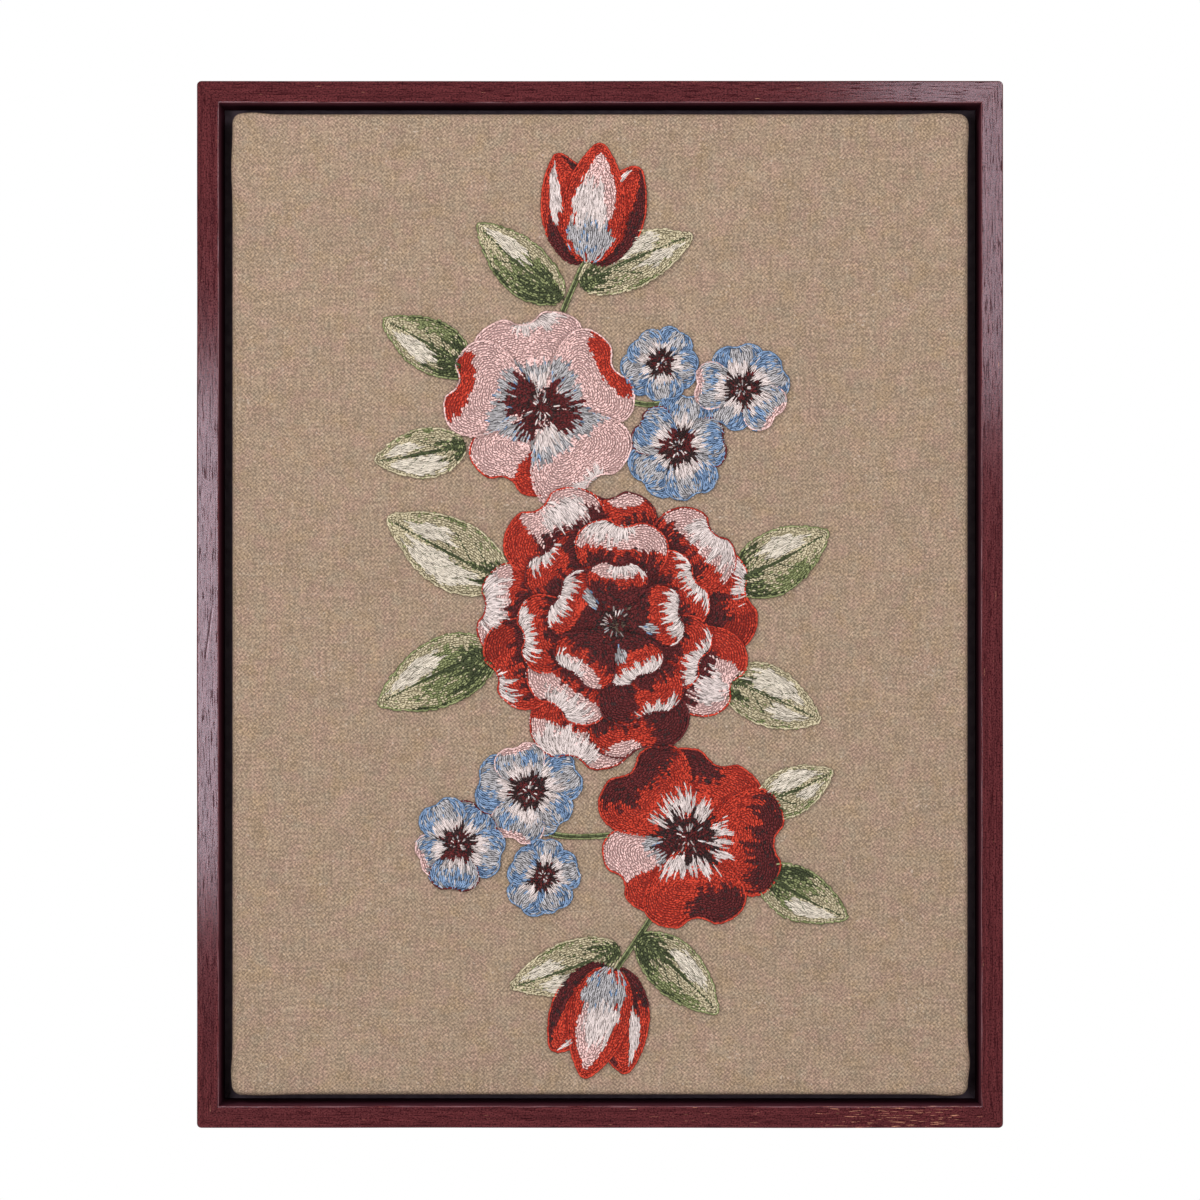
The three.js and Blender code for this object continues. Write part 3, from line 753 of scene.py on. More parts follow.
def petalRing(x, y, petals, first, start, end, width, form, notch, recipes, lift):
    ring = []
    for k in range(petals):
        turn = first + k * 360 / petals + uneven["turn"] * math.sin(3.1 * k + first)
        angle = math.radians(turn)
        ring.append(
            makePetal(
                x + start * math.cos(angle),
                y + start * math.sin(angle),
                turn,
                (end - start) * (1 + uneven["length"] * math.sin(2.3 * k + end)),
                width * (1 + uneven["width"] * math.cos(1.9 * k + end)),
                form,
                recipes[k % len(recipes)],
                notch=notch,
                lift=lift + uneven["lift"] * (k % 2),
            )
        )
    return ring[::2] + ring[1::2]


# Recipes: the ground's thread, the outline's thread, then zones laid over the ground. A zone has its thread,
# its middle along and across the petal, its reach both ways and how spiky its edge is.
def stitchRecipe(ground, edge, *zones, veins=None):
    return {"ground": ground, "edge": edge, "zones": zones, "veins": veins}


recipes = {
    "outerRed": stitchRecipe(
        "red", "red",
        ("maroon", 0.5, -0.1, 0.24, 1.3, 0.12), ("cream", 1.0, 0.5, 0.13, 0.7, 0.09),
        ("brick", 0.8, -0.7, 0.2, 0.3, 0.08),
    ),
    "outerPale": stitchRecipe(
        "pink", "brick",
        ("red", 0.52, 0, 0.2, 1.6, 0.08), ("maroon", 0.5, 0.3, 0.17, 0.9, 0.12),
        ("cream", 0.98, -0.2, 0.2, 0.85, 0.12),
    ),
    "outerDark": stitchRecipe(
        "red", "maroon",
        ("maroon", 0.72, 0.85, 0.42, 0.6, 0.1), ("maroon", 0.5, -0.2, 0.2, 1.2, 0.12),
        ("pink", 0.98, -0.5, 0.14, 0.5, 0.06),
    ),
    "outerCream": stitchRecipe(
        "pink", "red",
        ("maroon", 0.48, 0.1, 0.22, 1.4, 0.12), ("red", 0.72, 0.9, 0.3, 0.5, 0.08),
        ("cream", 0.8, -0.3, 0.14, 0.4, 0.1),
    ),
    "middleRed": stitchRecipe(
        "red", "red",
        ("maroon", 0.42, 0, 0.22, 1.6, 0.12), ("cream", 1.02, 0, 0.2, 1.15, 0.1),
    ),
    "middlePale": stitchRecipe(
        "pink", "red",
        ("red", 0.42, 0, 0.24, 1.7, 0.08), ("maroon", 0.4, -0.2, 0.2, 1.0, 0.14),
        ("cream", 0.96, 0.3, 0.2, 0.7, 0.12),
    ),
    "middleDark": stitchRecipe(
        "red", "maroon",
        ("maroon", 0.55, -0.7, 0.4, 0.6, 0.12), ("maroon", 0.4, 0.2, 0.2, 1.3, 0.12),
        ("cream", 1.0, 0.4, 0.16, 0.8, 0.09),
    ),
    "innerDark": stitchRecipe(
        "maroon", "maroon",
        ("red", 0.68, 0.1, 0.26, 1.0, 0.12), ("cream", 1.0, 0, 0.26, 1.2, 0.12),
        ("greyBlue", 0.4, -0.35, 0.13, 0.24, 0.08),
    ),
    "innerRed": stitchRecipe(
        "red", "maroon",
        ("maroon", 0.28, 0, 0.28, 1.7, 0.14), ("pink", 0.94, 0.1, 0.26, 0.9, 0.08),
        ("cream", 0.99, -0.3, 0.24, 0.7, 0.12),
    ),
    "rosePink": stitchRecipe(
        "pink", "pink",
        ("greyBlue", 0.34, 0.1, 0.14, 1.3, 0.07), ("cream", 0.28, -0.3, 0.11, 0.6, 0.1),
        ("maroon", 0.2, 0.45, 0.15, 0.5, 0.1), ("cream", 1.0, -0.3, 0.12, 0.7, 0.08),
    ),
    "roseBlush": stitchRecipe(
        "pink", "pink",
        ("red", 1.0, 0.1, 0.22, 1.0, 0.1), ("greyBlue", 0.36, 0.2, 0.12, 1.0, 0.07),
        ("maroon", 0.2, -0.2, 0.16, 0.9, 0.12),
    ),
    "roseRed": stitchRecipe(
        "red", "red",
        ("maroon", 0.95, 0.5, 0.34, 0.7, 0.12), ("cream", 0.28, 0, 0.12, 0.9, 0.12),
        ("brown", 0.18, 0.3, 0.12, 0.6, 0.1),
    ),
    "roseDark": stitchRecipe(
        "red", "red",
        ("maroon", 0.98, -0.15, 0.32, 1.2, 0.14), ("cream", 0.27, -0.2, 0.12, 0.7, 0.12),
        ("brown", 0.17, 0.2, 0.12, 0.9, 0.1),
    ),
    "roseMixed": stitchRecipe(
        "pink", "red",
        ("red", 0.8, 0.7, 0.5, 0.6, 0.1), ("greyBlue", 0.34, -0.2, 0.12, 0.7, 0.06),
        ("maroon", 0.22, 0.1, 0.14, 0.9, 0.12),
    ),
    "blueGrey": stitchRecipe(
        "greyBlue", "blue",
        ("blue", 0.74, 0.7, 0.34, 0.44, 0.1), ("blue", 0.62, -0.8, 0.3, 0.24, 0.06),
        ("cream", 0.42, 0, 0.14, 0.8, 0.12), ("brown", 0.2, 0, 0.16, 1.5, 0.1),
    ),
    "blueDeep": stitchRecipe(
        "blue", "blue",
        ("greyBlue", 0.72, -0.2, 0.22, 0.55, 0.1), ("cream", 0.38, 0.2, 0.1, 0.6, 0.1),
        ("brown", 0.2, 0, 0.14, 1.5, 0.1),
    ),
    "blueLined": stitchRecipe(
        "greyBlue", "maroon",
        ("blue", 0.8, 0.1, 0.26, 0.7, 0.1), ("blue", 0.6, -0.85, 0.4, 0.26, 0.06),
        ("cream", 0.4, 0.1, 0.12, 0.6, 0.12), ("maroon", 0.2, 0, 0.16, 1.5, 0.1),
    ),
    "bluePink": stitchRecipe(
        "greyBlue", "pink",
        ("pink", 0.99, 0, 0.16, 1.2, 0.05), ("blue", 0.6, -0.4, 0.22, 0.34, 0.08),
        ("cream", 0.42, 0.1, 0.14, 0.7, 0.12), ("brown", 0.2, 0, 0.15, 1.5, 0.1),
    ),
    "tulipSide": stitchRecipe(
        "red", "red",
        ("maroon", 0.12, 0, 0.3, 1.6, 0.12), ("maroon", 0.6, -0.8, 0.4, 0.3, 0.06),
        ("cream", 0.68, 0.5, 0.24, 0.2, 0.06),
    ),
    "tulipFront": stitchRecipe(
        "red", "red",
        ("pink", 0.6, -0.1, 0.3, 0.6, 0.1), ("cream", 0.46, 0.1, 0.22, 0.5, 0.12),
        ("greyBlue", 0.2, 0, 0.16, 0.8, 0.1),
    ),
    "leafPale": stitchRecipe(
        "olive", "olive",
        ("darkGreen", 0.02, 0.1, 0.2, 0.9, 0.16), ("green", 0.5, -1.02, 0.42, 0.17, 0.1),
        ("leafCream", 0.52, 0.48, 0.26, 0.36, 0.1), ("leafCream", 0.68, -0.34, 0.16, 0.26, 0.08),
        veins="darkGreen",
    ),
    "leafOlive": stitchRecipe(
        "olive", "green",
        ("green", 0.46, -0.76, 0.36, 0.34, 0.16), ("darkGreen", 0.06, 0, 0.26, 1.1, 0.2),
        ("darkGreen", 0.5, -1.04, 0.46, 0.16, 0.1), ("leafCream", 0.58, 0.42, 0.2, 0.32, 0.08),
        veins="darkGreen",
    ),
    "leafGreen": stitchRecipe(
        "olive", "green",
        ("green", 0.3, 0.2, 0.34, 0.8, 0.2), ("darkGreen", 0.12, 0.3, 0.26, 0.8, 0.2),
        ("darkGreen", 0.55, 1.04, 0.46, 0.18, 0.1), ("leafCream", 0.66, -0.36, 0.2, 0.32, 0.08),
        veins="darkGreen",
    ),
}

# Flowers: a ring's petals start and end that far from its middle
blueForm = {"petals": 5, "start": 0, "form": "blue", "notch": 0.06, "lift": 0.0}
blueHeart = {"share": 0.24, "lift": 0.2}
blueRows = table(
    "x y end width first recipes",
    (32, 64, 21, 23, 78, ["blueGrey", "blueLined", "blueDeep"]),
    (58, 88, 18.5, 20, 100, ["blueGrey", "bluePink"]),
    (25, 98, 15.5, 17, 60, ["blueDeep", "blueGrey"]),
    (-29, -76, 21, 23, 30, ["blueGrey", "bluePink"]),
    (-58, -98, 18.5, 20, 52, ["blueLined", "blueGrey", "bluePink"]),
    (-23, -111, 15.5, 17, 84, ["blueGrey", "blueDeep"]),
)
peonyRecipes = {
    "outer": ["outerRed", "outerPale", "outerDark", "outerCream", "outerPale"],
    "middle": ["middleRed", "middlePale", "middleDark"],
    "inner": ["innerDark", "innerRed"],
}
flowerRows = namedTable(
    "x y petals first start end width form notch lift recipes",
    roseUpper=(-24, 80, 5, 96, 0, 38, 43, "rose", 0.1, 0.0, ["rosePink", "roseBlush", "roseMixed"]),
    roseLower=(36, -95, 5, 64, 0, 37, 42, "rose", 0.1, 0.0, ["roseRed", "roseDark", "roseMixed"]),
    peonyOuter=(6, -8, 9, 8, 14, 57, 42, "peony", 0.07, 0.0, peonyRecipes["outer"]),
    peonyMiddle=(6, -8, 7, 31, 9, 42, 36, "peony", 0.08, 0.22, peonyRecipes["middle"]),
    peonyInner=(6, -8, 5, 12, 4, 27, 28, "peony", 0.09, 0.44, peonyRecipes["inner"]),
)
tulipRows = namedTable(
    "x y turn length width",
    tulipTop=(-5, 138, 84, 51, 27),
    tulipBottom=(5, -147, -104, 48, 26),
)
tulipPetals = table(
    "turn share recipe lift",
    (21, 0.94, "tulipSide", 0.0),
    (-21, 0.9, "tulipSide", 0.06),
    (0, 1, "tulipFront", 0.16),
)
leafRows = table(
    "x y turn length width bend recipe",
    (-36, 9, 157, 58, 29, -0.08, "leafPale"),
    (-40, -18, 199, 56, 28, 0.09, "leafGreen"),
    (52, 8, 22, 47, 26, 0.1, "leafOlive"),
    (48, -30, -17, 46, 25, -0.1, "leafPale"),
    (-52, 94, 143, 43, 22, 0.1, "leafOlive"),
    (-54, 66, 197, 39, 21, -0.1, "leafPale"),
    (64, -108, -34, 42, 22, 0.1, "leafGreen"),
    (62, -82, 16, 36, 20, 0.12, "leafPale"),
    (-14, 124, 146, 48, 22, -0.12, "leafGreen"),
    (-9, 129, 30, 52, 23, -0.1, "leafPale"),
    (14, -135, -36, 47, 22, -0.12, "leafOlive"),
    (9, -139, 206, 49, 22, -0.1, "leafPale"),
)
stemRows = table(
    "from by to",
    ((-18, 112), (-12, 128), (-5, 142)),
    ((22, -126), (14, -138), (5, -151)),
    ((25, 82), (20, 80), (8, 84)),
    ((-24, -92), (-16, -96), (4, -94)),
)
heartRows = namedTable(
    "x y radius lift",
    peony=(6, -8, 8.5, 0.5),
    roseUpper=(-24, 80, 8.5, 0.2),
    roseLower=(36, -95, 8, 0.2),
)


def tulip(x, y, turn, length, width):
    return [
        makePetal(x, y, turn + p["turn"], length * p["share"], width, "tulip", p["recipe"], lift=p["lift"])
        for p in tulipPetals
    ]


# Motifs in the order in which they are worked: a later one covers those before it
motifs = {f"leaf{k}": [makePetal(**row, form="leaf")] for k, row in enumerate(leafRows, 1)}
for k, row in enumerate(blueRows, 1):
    motifs[f"blue{k}"] = petalRing(**blueForm, **row)
    radius = row["end"] * blueHeart["share"]
    heartRows[f"blue{k}"] = {"x": row["x"], "y": row["y"], "radius": radius, "lift": blueHeart["lift"]}
for name, row in tulipRows.items():
    motifs[name] = tulip(**row)
for name, row in flowerRows.items():
    motifs[name] = petalRing(**row)
allPetals = [petal for motif in motifs.values() for petal in motif]
for rank, petal in enumerate(allPetals):
    petal["rank"] = rank


def uncovered(points, rank):
    free = np.ones(len(points), bool)
    for later in allPetals[rank + 1 :]:
        away = np.abs(points - (later["x"], later["y"])).max(1)
        near = free & (away < later["length"] + later["width"])
        if near.any():
            free[near] = ~petalCovers(later, points[near])
    return free


# Points beside a seam, just outside a petal that covers the next spot, where stitches get painted shade
seamReach = 1.3


def besideSeam(points, rank):
    near = np.zeros(len(points), bool)
    for angle in np.arange(6) * math.pi / 3:
        near |= ~uncovered(points + seamReach * np.array([math.cos(angle), math.sin(angle)]), rank)
    return near


# Each zone's edge gets its own teeth: for its near side, its far side and its flanks
teethSpec = {"pitch": 0.75, "least": 7, "calm": 0.35}


def ruffle(petal):
    teeth = max(teethSpec["least"], int(petal["width"] / teethSpec["pitch"]))
    petal["teeth"] = [random.uniform(-1, 1, (3, teeth)) for _ in recipes[petal["recipe"]]["zones"]]


def threadAt(petal, s, v):
    recipe = recipes[petal["recipe"]]
    found = np.full(len(s), threadNumber[recipe["ground"]])
    for (name, midS, midV, reachS, reachV, spiky), teeth in zip(recipe["zones"], petal["teeth"]):
        spread = spiky if threads[name].get("spiky") else spiky * teethSpec["calm"]
        places = np.linspace(-1, 1, teeth.shape[1])
        shift = spread * np.where(s > midS, np.interp(v, places, teeth[0]), np.interp(v, places, teeth[1]))
        flank = spread * np.interp(2 * s - 1, places, teeth[2])
        inside = ((s - midS + shift) / reachS) ** 2 + ((v - midV + flank) / reachV) ** 2 < 1
        found = np.where(inside, threadNumber[name], found)
    return found


def blended(thread):
    mixed = thread.copy()
    for name, k in threadNumber.items():
        if "blend" in threads[name]:
            other, share = threads[name]["blend"]
            mixed[(thread == k) & (random.random(len(thread)) < share)] = threadNumber[other]
    return mixed


class Stitches:
    def __init__(self):
        self.rows = []
        self.pads = []

    def add(self, start, end, startLevel, endLevel, half, arch, thread, tone):
        if len(start):
            columns = [startLevel, endLevel, half, arch, thread, tone]
            flat = [np.broadcast_to(np.asarray(c, float), (len(start),)) for c in columns]
            self.rows.append(np.column_stack([start, end, *flat]))


# The padding under a petal's stitches, in the same threads at a darker tone: painted shade in the gaps
# between stitches
padSpec = {"along": 29, "across": 21, "below": 0.1, "tone": 0.28}


def padPetal(stitches, petal):
    alongSteps = np.linspace(0.03, 0.98, padSpec["along"])
    s, v = np.meshgrid(alongSteps, np.linspace(-0.97, 0.97, padSpec["across"]), indexing="ij")
    levels = petalHeight(petal, s, v) - padSpec["below"]
    levels[:, [0, -1]] = stitchBack
    levels[[0, -1]] = stitchBack
    spots = np.column_stack([petalPoint(petal, s, v).reshape(-1, 2), levels.ravel()])
    midS, midV = (s[:-1, :-1] + s[1:, 1:]) / 2, (v[:-1, :-1] + v[1:, 1:]) / 2
    keep = uncovered(petalPoint(petal, midS, midV).reshape(-1, 2), petal["rank"])
    thread = threadAt(petal, midS.ravel(), midV.ravel())
    stitches.pads.append((spots[gridQuads(*s.shape)[keep]], thread[keep]))


# Grains: rows of short stitches that follow the outline, one inside the other
grainSpec = {"pitch": 0.88, "length": 1.35, "half": 0.43, "arch": 0.18, "loose": (0.13, 0.15), "seamShade": 0.46}


def insetPath(petal, inset):
    s = np.concatenate([np.linspace(0.03, 0.97, 36), np.full(9, 0.985), np.linspace(0.97, 0.03, 36)])
    v = np.concatenate([np.full(36, -1.0), np.linspace(-0.9, 0.9, 9), np.full(36, 1.0)])
    trim = inset / petal["length"]
    place = trim + (1 - 2 * trim) * s
    narrow = 1 - 2 * inset / petal["width"]
    v = v * narrow * swell(petal["form"], s) / np.maximum(swell(petal["form"], place), 1e-3)
    path = petalPoint(petal, place, np.clip(v, -1, 1))
    return np.vstack([path, path[:1]])


def grainPetal(stitches, petal):
    spec, rank = grainSpec, petal["rank"]
    starts, ends = [], []
    for row in range(int(petal["width"] / 2 / spec["pitch"])):
        loop = insetPath(petal, (row + 0.6) * spec["pitch"])
        gone = runAlong(loop)
        count = max(3, int(gone[-1] / spec["length"]))
        marks = np.arange(count) + random.random() + random.uniform(-0.25, 0.25, count)
        marks = np.sort(marks / count * gone[-1] % gone[-1])
        points = pointsAlong(loop, gone, marks)
        drift = points @ np.array([[0.62, 0.29], [-0.33, 0.71]]) + petal["turn"] * 5
        points = points + 0.12 * np.sin(drift) + 0.06 * np.sin(drift[:, ::-1] * 2.3)
        starts.append(points)
        ends.append(np.roll(points, -1, axis=0))
    start, end = np.concatenate(starts), np.concatenate(ends)
    shift = random.normal(0, spec["loose"][0], start.shape)
    start, end = start + shift, end + shift + random.normal(0, spec["loose"][1], start.shape)
    middle = (start + end) / 2
    s, v = petalPlace(petal, middle)
    s, v = np.clip(s, 0.02, 0.98), np.clip(v, -0.98, 0.98)
    thread = threadAt(petal, s, v)
    satins = [threadNumber[name] for name in threads if threads[name].get("satin")]
    keep = uncovered(middle, rank) & ~np.isin(thread, satins)
    start, end, middle, thread = start[keep], end[keep], middle[keep], blended(thread[keep])
    count = len(start)
    level = petalHeight(petal, s, v)[keep] + random.uniform(0, 0.1, count)
    tone = np.clip(random.normal(0.7, 0.14, count), 0, 1)
    # Painted shade: grains beside a seam are darkened by the seam factor
    tone = tone * np.where(besideSeam(middle, rank), spec["seamShade"], 1.0)
    half = spec["half"] * random.uniform(0.88, 1.1, count)
    stitches.add(start, end, level, level, half, spec["arch"], thread, tone)


# Satin: longer stitches side by side, from the petal's root outwards
satinSpec = {"step": 0.34, "seamShade": 1.0, "rise": 0.1, "arch": 0.16, "sway": 0.12}


def satinPetal(stitches, petal):
    recipe, rank = recipes[petal["recipe"]], petal["rank"]
    used = {recipe["ground"], *[zone[0] for zone in recipe["zones"]]}
    for name in sorted(name for name in used if threads[name].get("satin")):
        thread = {**satinSpec, **threads[name]}
        rows = max(2, int(petal["length"] / (thread["length"] * thread["step"])))
        sList, vList = [], []
        for row in range(rows):
            s = (row + 0.5) / rows
            count = max(1, int(petal["width"] * swell(petal["form"], s) / thread["pitch"]))
            places = np.arange(count) + 0.5 + 0.4 * (random.random(count) - 0.5)
            vList.append((places + 0.5 * (row % 2) - 0.25) / count * 2 - 1)
            sList.append(s + (random.random(count) - 0.5) * 0.7 / rows)
        s, v = np.concatenate(sList), np.clip(np.concatenate(vList), -0.96, 0.96)
        chosen = (s > 0.03) & (s < 0.97) & (threadAt(petal, s, v) == threadNumber[name])
        s, v = s[chosen], v[chosen]
        middle = petalPoint(petal, s, v)
        keep = uncovered(middle, rank)
        s, v, middle = s[keep], v[keep], middle[keep]
        count = len(s)
        heading = petalPoint(petal, s + 1e-3, v) - petalPoint(petal, s - 1e-3, v)
        heading = heading / np.linalg.norm(heading, axis=1, keepdims=True)
        side = leftOf(heading)
        sway = random.normal(0, thread["sway"], (count, 1))
        reach = (heading * np.cos(sway) + side * np.sin(sway)) * thread["length"]
        reach = reach * random.uniform(0.4, 0.62, (count, 1))
        room = (0.985 - s) * petal["length"] / (0.5 * thread["length"]) + 0.3
        reach = reach * np.minimum(1, room)[:, None]
        level = petalHeight(petal, s, v) + thread["rise"] + random.uniform(0, 0.12, count)
        tone = np.clip(random.normal(0.66, 0.19, count), 0, 1)
        # Painted shade: satin stitches beside a seam are darkened by their thread's seam factor
        tone = tone * np.where(besideSeam(middle, rank), thread["seamShade"], 1.0)
        half = thread["pitch"] * random.uniform(0.46, 0.58, count)
        kinds = blended(np.full(count, threadNumber[name]))
        stitches.add(middle - reach, middle + reach, level, level, half, thread["arch"], kinds, tone)


# Outlines, veins and stems are rows of stitches along a path
outlineRow = {"length": 2.0, "half": 0.46, "rise": 0.22, "loose": 0.1}
leafOutlineRow = {**outlineRow, "loose": 0.26}
midribRow = {"length": 2.4, "half": 0.42, "rise": 0.2}
veinRow = {"length": 2.2, "half": 0.34, "rise": 0.16}
stemRow = {"length": 2.6, "half": 0.42}
stemLines = [(-0.8, "green"), (0.0, "darkGreen"), (0.8, "green"), (0.4, "darkGreen")]


def stitchRow(stitches, path, levels, name, rank, length, half, rise=0.12, loose=0.06):
    gone = runAlong(path)
    count = max(1, int(gone[-1] / length))
    marks = np.linspace(0, gone[-1], count + 1)
    points = pointsAlong(path, gone, marks)
    level = np.interp(marks, gone, levels) + rise
    ahead = (points[1:] - points[:-1]) * 0.12
    start, end = points[:-1] - ahead, points[1:] + ahead
    start, end = start + random.normal(0, loose, start.shape), end + random.normal(0, loose, end.shape)
    keep = uncovered((start + end) / 2, rank)
    tone = np.clip(random.normal(0.62, 0.16, count), 0, 1)[keep]
    startLevel, endLevel = level[:-1][keep], level[1:][keep]
    stitches.add(start[keep], end[keep], startLevel, endLevel, half, 0.14, threadNumber[name], tone)


def petalRow(stitches, petal, s, v, name, row):
    stitchRow(stitches, petalPoint(petal, s, v), petalHeight(petal, s, v), name, petal["rank"], **row)


def outlinePetal(stitches, petal):
    leaf = petal["form"] == "leaf"
    side = np.linspace(0.05 if leaf else 0.42, 0.975, 40)
    s = np.concatenate([side, np.full(14, 0.98), side[::-1]])
    v = np.concatenate([np.full(40, -0.965), np.linspace(-0.92, 0.92, 14), np.full(40, 0.965)])
    edge = recipes[petal["recipe"]]["edge"]
    petalRow(stitches, petal, s, v, edge, leafOutlineRow if leaf else outlineRow)


def veinLeaf(stitches, petal):
    name = recipes[petal["recipe"]]["veins"]
    if not name:
        return
    for offset, stop in ((0.0, 0.92), (0.05, 0.6)):
        s = np.linspace(0.02, stop, 24)
        petalRow(stitches, petal, s, np.full(24, offset) + 0.02 * np.sin(s * 9), name, midribRow)
    t = np.linspace(0, 1, 10)
    for start in (0.14, 0.3, 0.46):
        for sign, shift in ((-1, 0.0), (1, 0.05)):
            petalRow(stitches, petal, start + shift + 0.2 * t, sign * 0.6 * t**0.9, name, veinRow)


def sewStem(stitches, stem):
    t = np.linspace(0, 1, 30)[:, None]
    a, b, c = (np.array(stem[key], float) for key in ("from", "by", "to"))
    path = a * (1 - t) ** 2 + 2 * b * t * (1 - t) + c * t**2
    heading = np.gradient(path, axis=0)
    heading /= np.linalg.norm(heading, axis=1, keepdims=True)
    across = leftOf(heading)
    levels = np.full(30, stitchBack + 0.35)
    for offset, name in stemLines:
        stitchRow(stitches, path + across * offset, levels, name, -1, **stemRow)


# A heart: dark grains over a dark ground, with a few pale tufts standing out from the middle
heartSpec = {
    "dark": (["maroon", "brown"], [0.55, 0.45]),
    "pale": (["cream", "greyBlue"], [0.75, 0.25]),
    "density": 4.4,
    "tufts": (6, 1.6),
    "grainHalf": 0.44,
    "tuftHalf": 0.4,
}


def pickThreads(choice, count):
    names, shares = choice
    return random.choice([threadNumber[name] for name in names], count, p=shares)


def pointing(angle):
    return np.column_stack([np.cos(angle), np.sin(angle)])


def fillHeart(stitches, heart):
    spec, radius, centre = heartSpec, heart["radius"], np.array([heart["x"], heart["y"]])
    count = int(radius**2 * spec["density"])
    far = radius * np.sqrt(random.random(count))
    angle = random.random(count) * 2 * np.pi
    middle = centre + np.column_stack([far * np.cos(angle), far * np.sin(angle)])
    reach = pointing(angle + random.normal(0, 0.7, count)) * random.uniform(0.6, 1.0, (count, 1))
    level = stitchBack + 0.55 + heart["lift"] + 0.4 * (1 - (far / radius) ** 2)
    dark = pickThreads(spec["dark"], count)
    tone = random.random(count) * 0.8
    stitches.add(middle - reach, middle + reach, level, level, spec["grainHalf"], 0.22, dark, tone)
    least, more = spec["tufts"]
    tufts = int(least + radius * more)
    heading = pointing(np.sort(random.random(tufts)) * 2 * np.pi)
    near = radius * random.uniform(0.1, 0.55, tufts)[:, None]
    longer = radius * random.uniform(0.25, 0.45, tufts)[:, None]
    pale = pickThreads(spec["pale"], tufts)
    level = stitchBack + 0.95 + heart["lift"]
    start, end = centre + heading * near, centre + heading * (near + longer)
    stitches.add(start, end, level, level, spec["tuftHalf"], 0.2, pale, random.random(tufts))


# Stitches as one mesh: four sections along each, a ridge on top and the ends drawn into the cloth.
# A section's corners are given by how far aside and how high they lie, and its painted shade across by how
# light each corner is painted: darker at the feet, lightest on the ridge.
stitchSection = {
    "along": np.array([0.0, 0.22, 0.78, 1.0]),
    "widths": [0.5, 1.0, 1.0, 0.5],
    "lifts": [-1.6, 0.6, 0.6, -1.6],
    "corners": [(-1.0, 0.0), (0.0, 0.8), (1.0, 0.0)],
    "paintedShadeAcross": np.array([0.35, 1.0, 0.35]),
}


def stitchFaces(count):
    faces = []
    for low in (0, 3, 6):
        for j in range(3):
            ahead = (j + 1) % 3
            faces.append([low + 3 + j, low + 3 + ahead, low + ahead, low + j])
    faces = np.array(faces + [[0, 1, 2, -1], [9, 11, 10, -1]])
    base = (np.arange(count) * 12)[:, None, None]
    return np.where(faces >= 0, faces + base, -1).reshape(-1, 4)


def stitchMesh(name, stitches):
    spec, total = stitchSection, len(threadNames)
    rows = np.concatenate(stitches.rows)
    count = len(rows)
    start, end = rows[:, 0:2], rows[:, 2:4]
    startLevel, endLevel, half, arch, thread, tone = rows[:, 4:].T
    heading = end - start
    heading /= np.maximum(np.linalg.norm(heading, axis=1, keepdims=True), 1e-6)
    across = leftOf(heading)
    points = np.zeros((count, 4, 3, 3))
    for k, (along, width, lift) in enumerate(zip(spec["along"], spec["widths"], spec["lifts"])):
        middle = start + (end - start) * along
        level = startLevel + (endLevel - startLevel) * along + arch * lift
        for j, (sideways, up) in enumerate(spec["corners"]):
            points[:, k, j, :2] = middle + across * (half * width * sideways)[:, None]
            points[:, k, j, 2] = level + half * width * up
    maps = np.zeros((count, 4, 3, 2))
    # Painted shade across each stitch: its tone is scaled down towards its feet
    maps[..., 0] = (thread[:, None, None] + 0.1 + 0.8 * tone[:, None, None] * spec["paintedShadeAcross"]) / total
    maps[..., 1] = spec["along"][None, :, None]
    points, maps, faces = [points.reshape(-1, 3)], [maps.reshape(-1, 2)], [stitchFaces(count)]
    first = count * 12
    for corners, kinds in stitches.pads:
        size = len(kinds) * 4
        points.append(corners.reshape(-1, 3))
        faces.append(first + np.arange(size).reshape(-1, 4))
        tones = np.repeat((kinds + padSpec["tone"]) / total, 4)
        maps.append(np.column_stack([tones, np.full(size, 0.5)]))
        first += size
    points, faces, maps = map(np.concatenate, (points, faces, maps))
    return meshPiece(name, points, faces, stitchMaterial, "OFBake", maps)


# Stitched pieces: a piece's slot, the nodes that it replaces and what is sewn on it
def pieceSpec(slot, nodes, motifs=(), hearts=(), stems=()):
    return {"slot": slot, "nodes": nodes, "motifs": motifs, "hearts": hearts, "stems": stems}


def blueSpec(*numbers):
    names = [f"blue{k}" for k in numbers]
    nodes = [f"blue_{k}_{part}" for k in numbers for part in ("petals", "heart")]
    return pieceSpec("blue_thread", nodes, names, names)


def leafSpec(slot, *numbers):
    return pieceSpec(slot, [f"leaf_{k}" for k in numbers], [f"leaf{k}" for k in numbers])


def roseSpec(slot, end):
    nodes = [f"rose_{end.lower()}_petals", f"rose_{end.lower()}_heart"]
    return pieceSpec(slot, nodes, [f"rose{end}"], [f"rose{end}"])


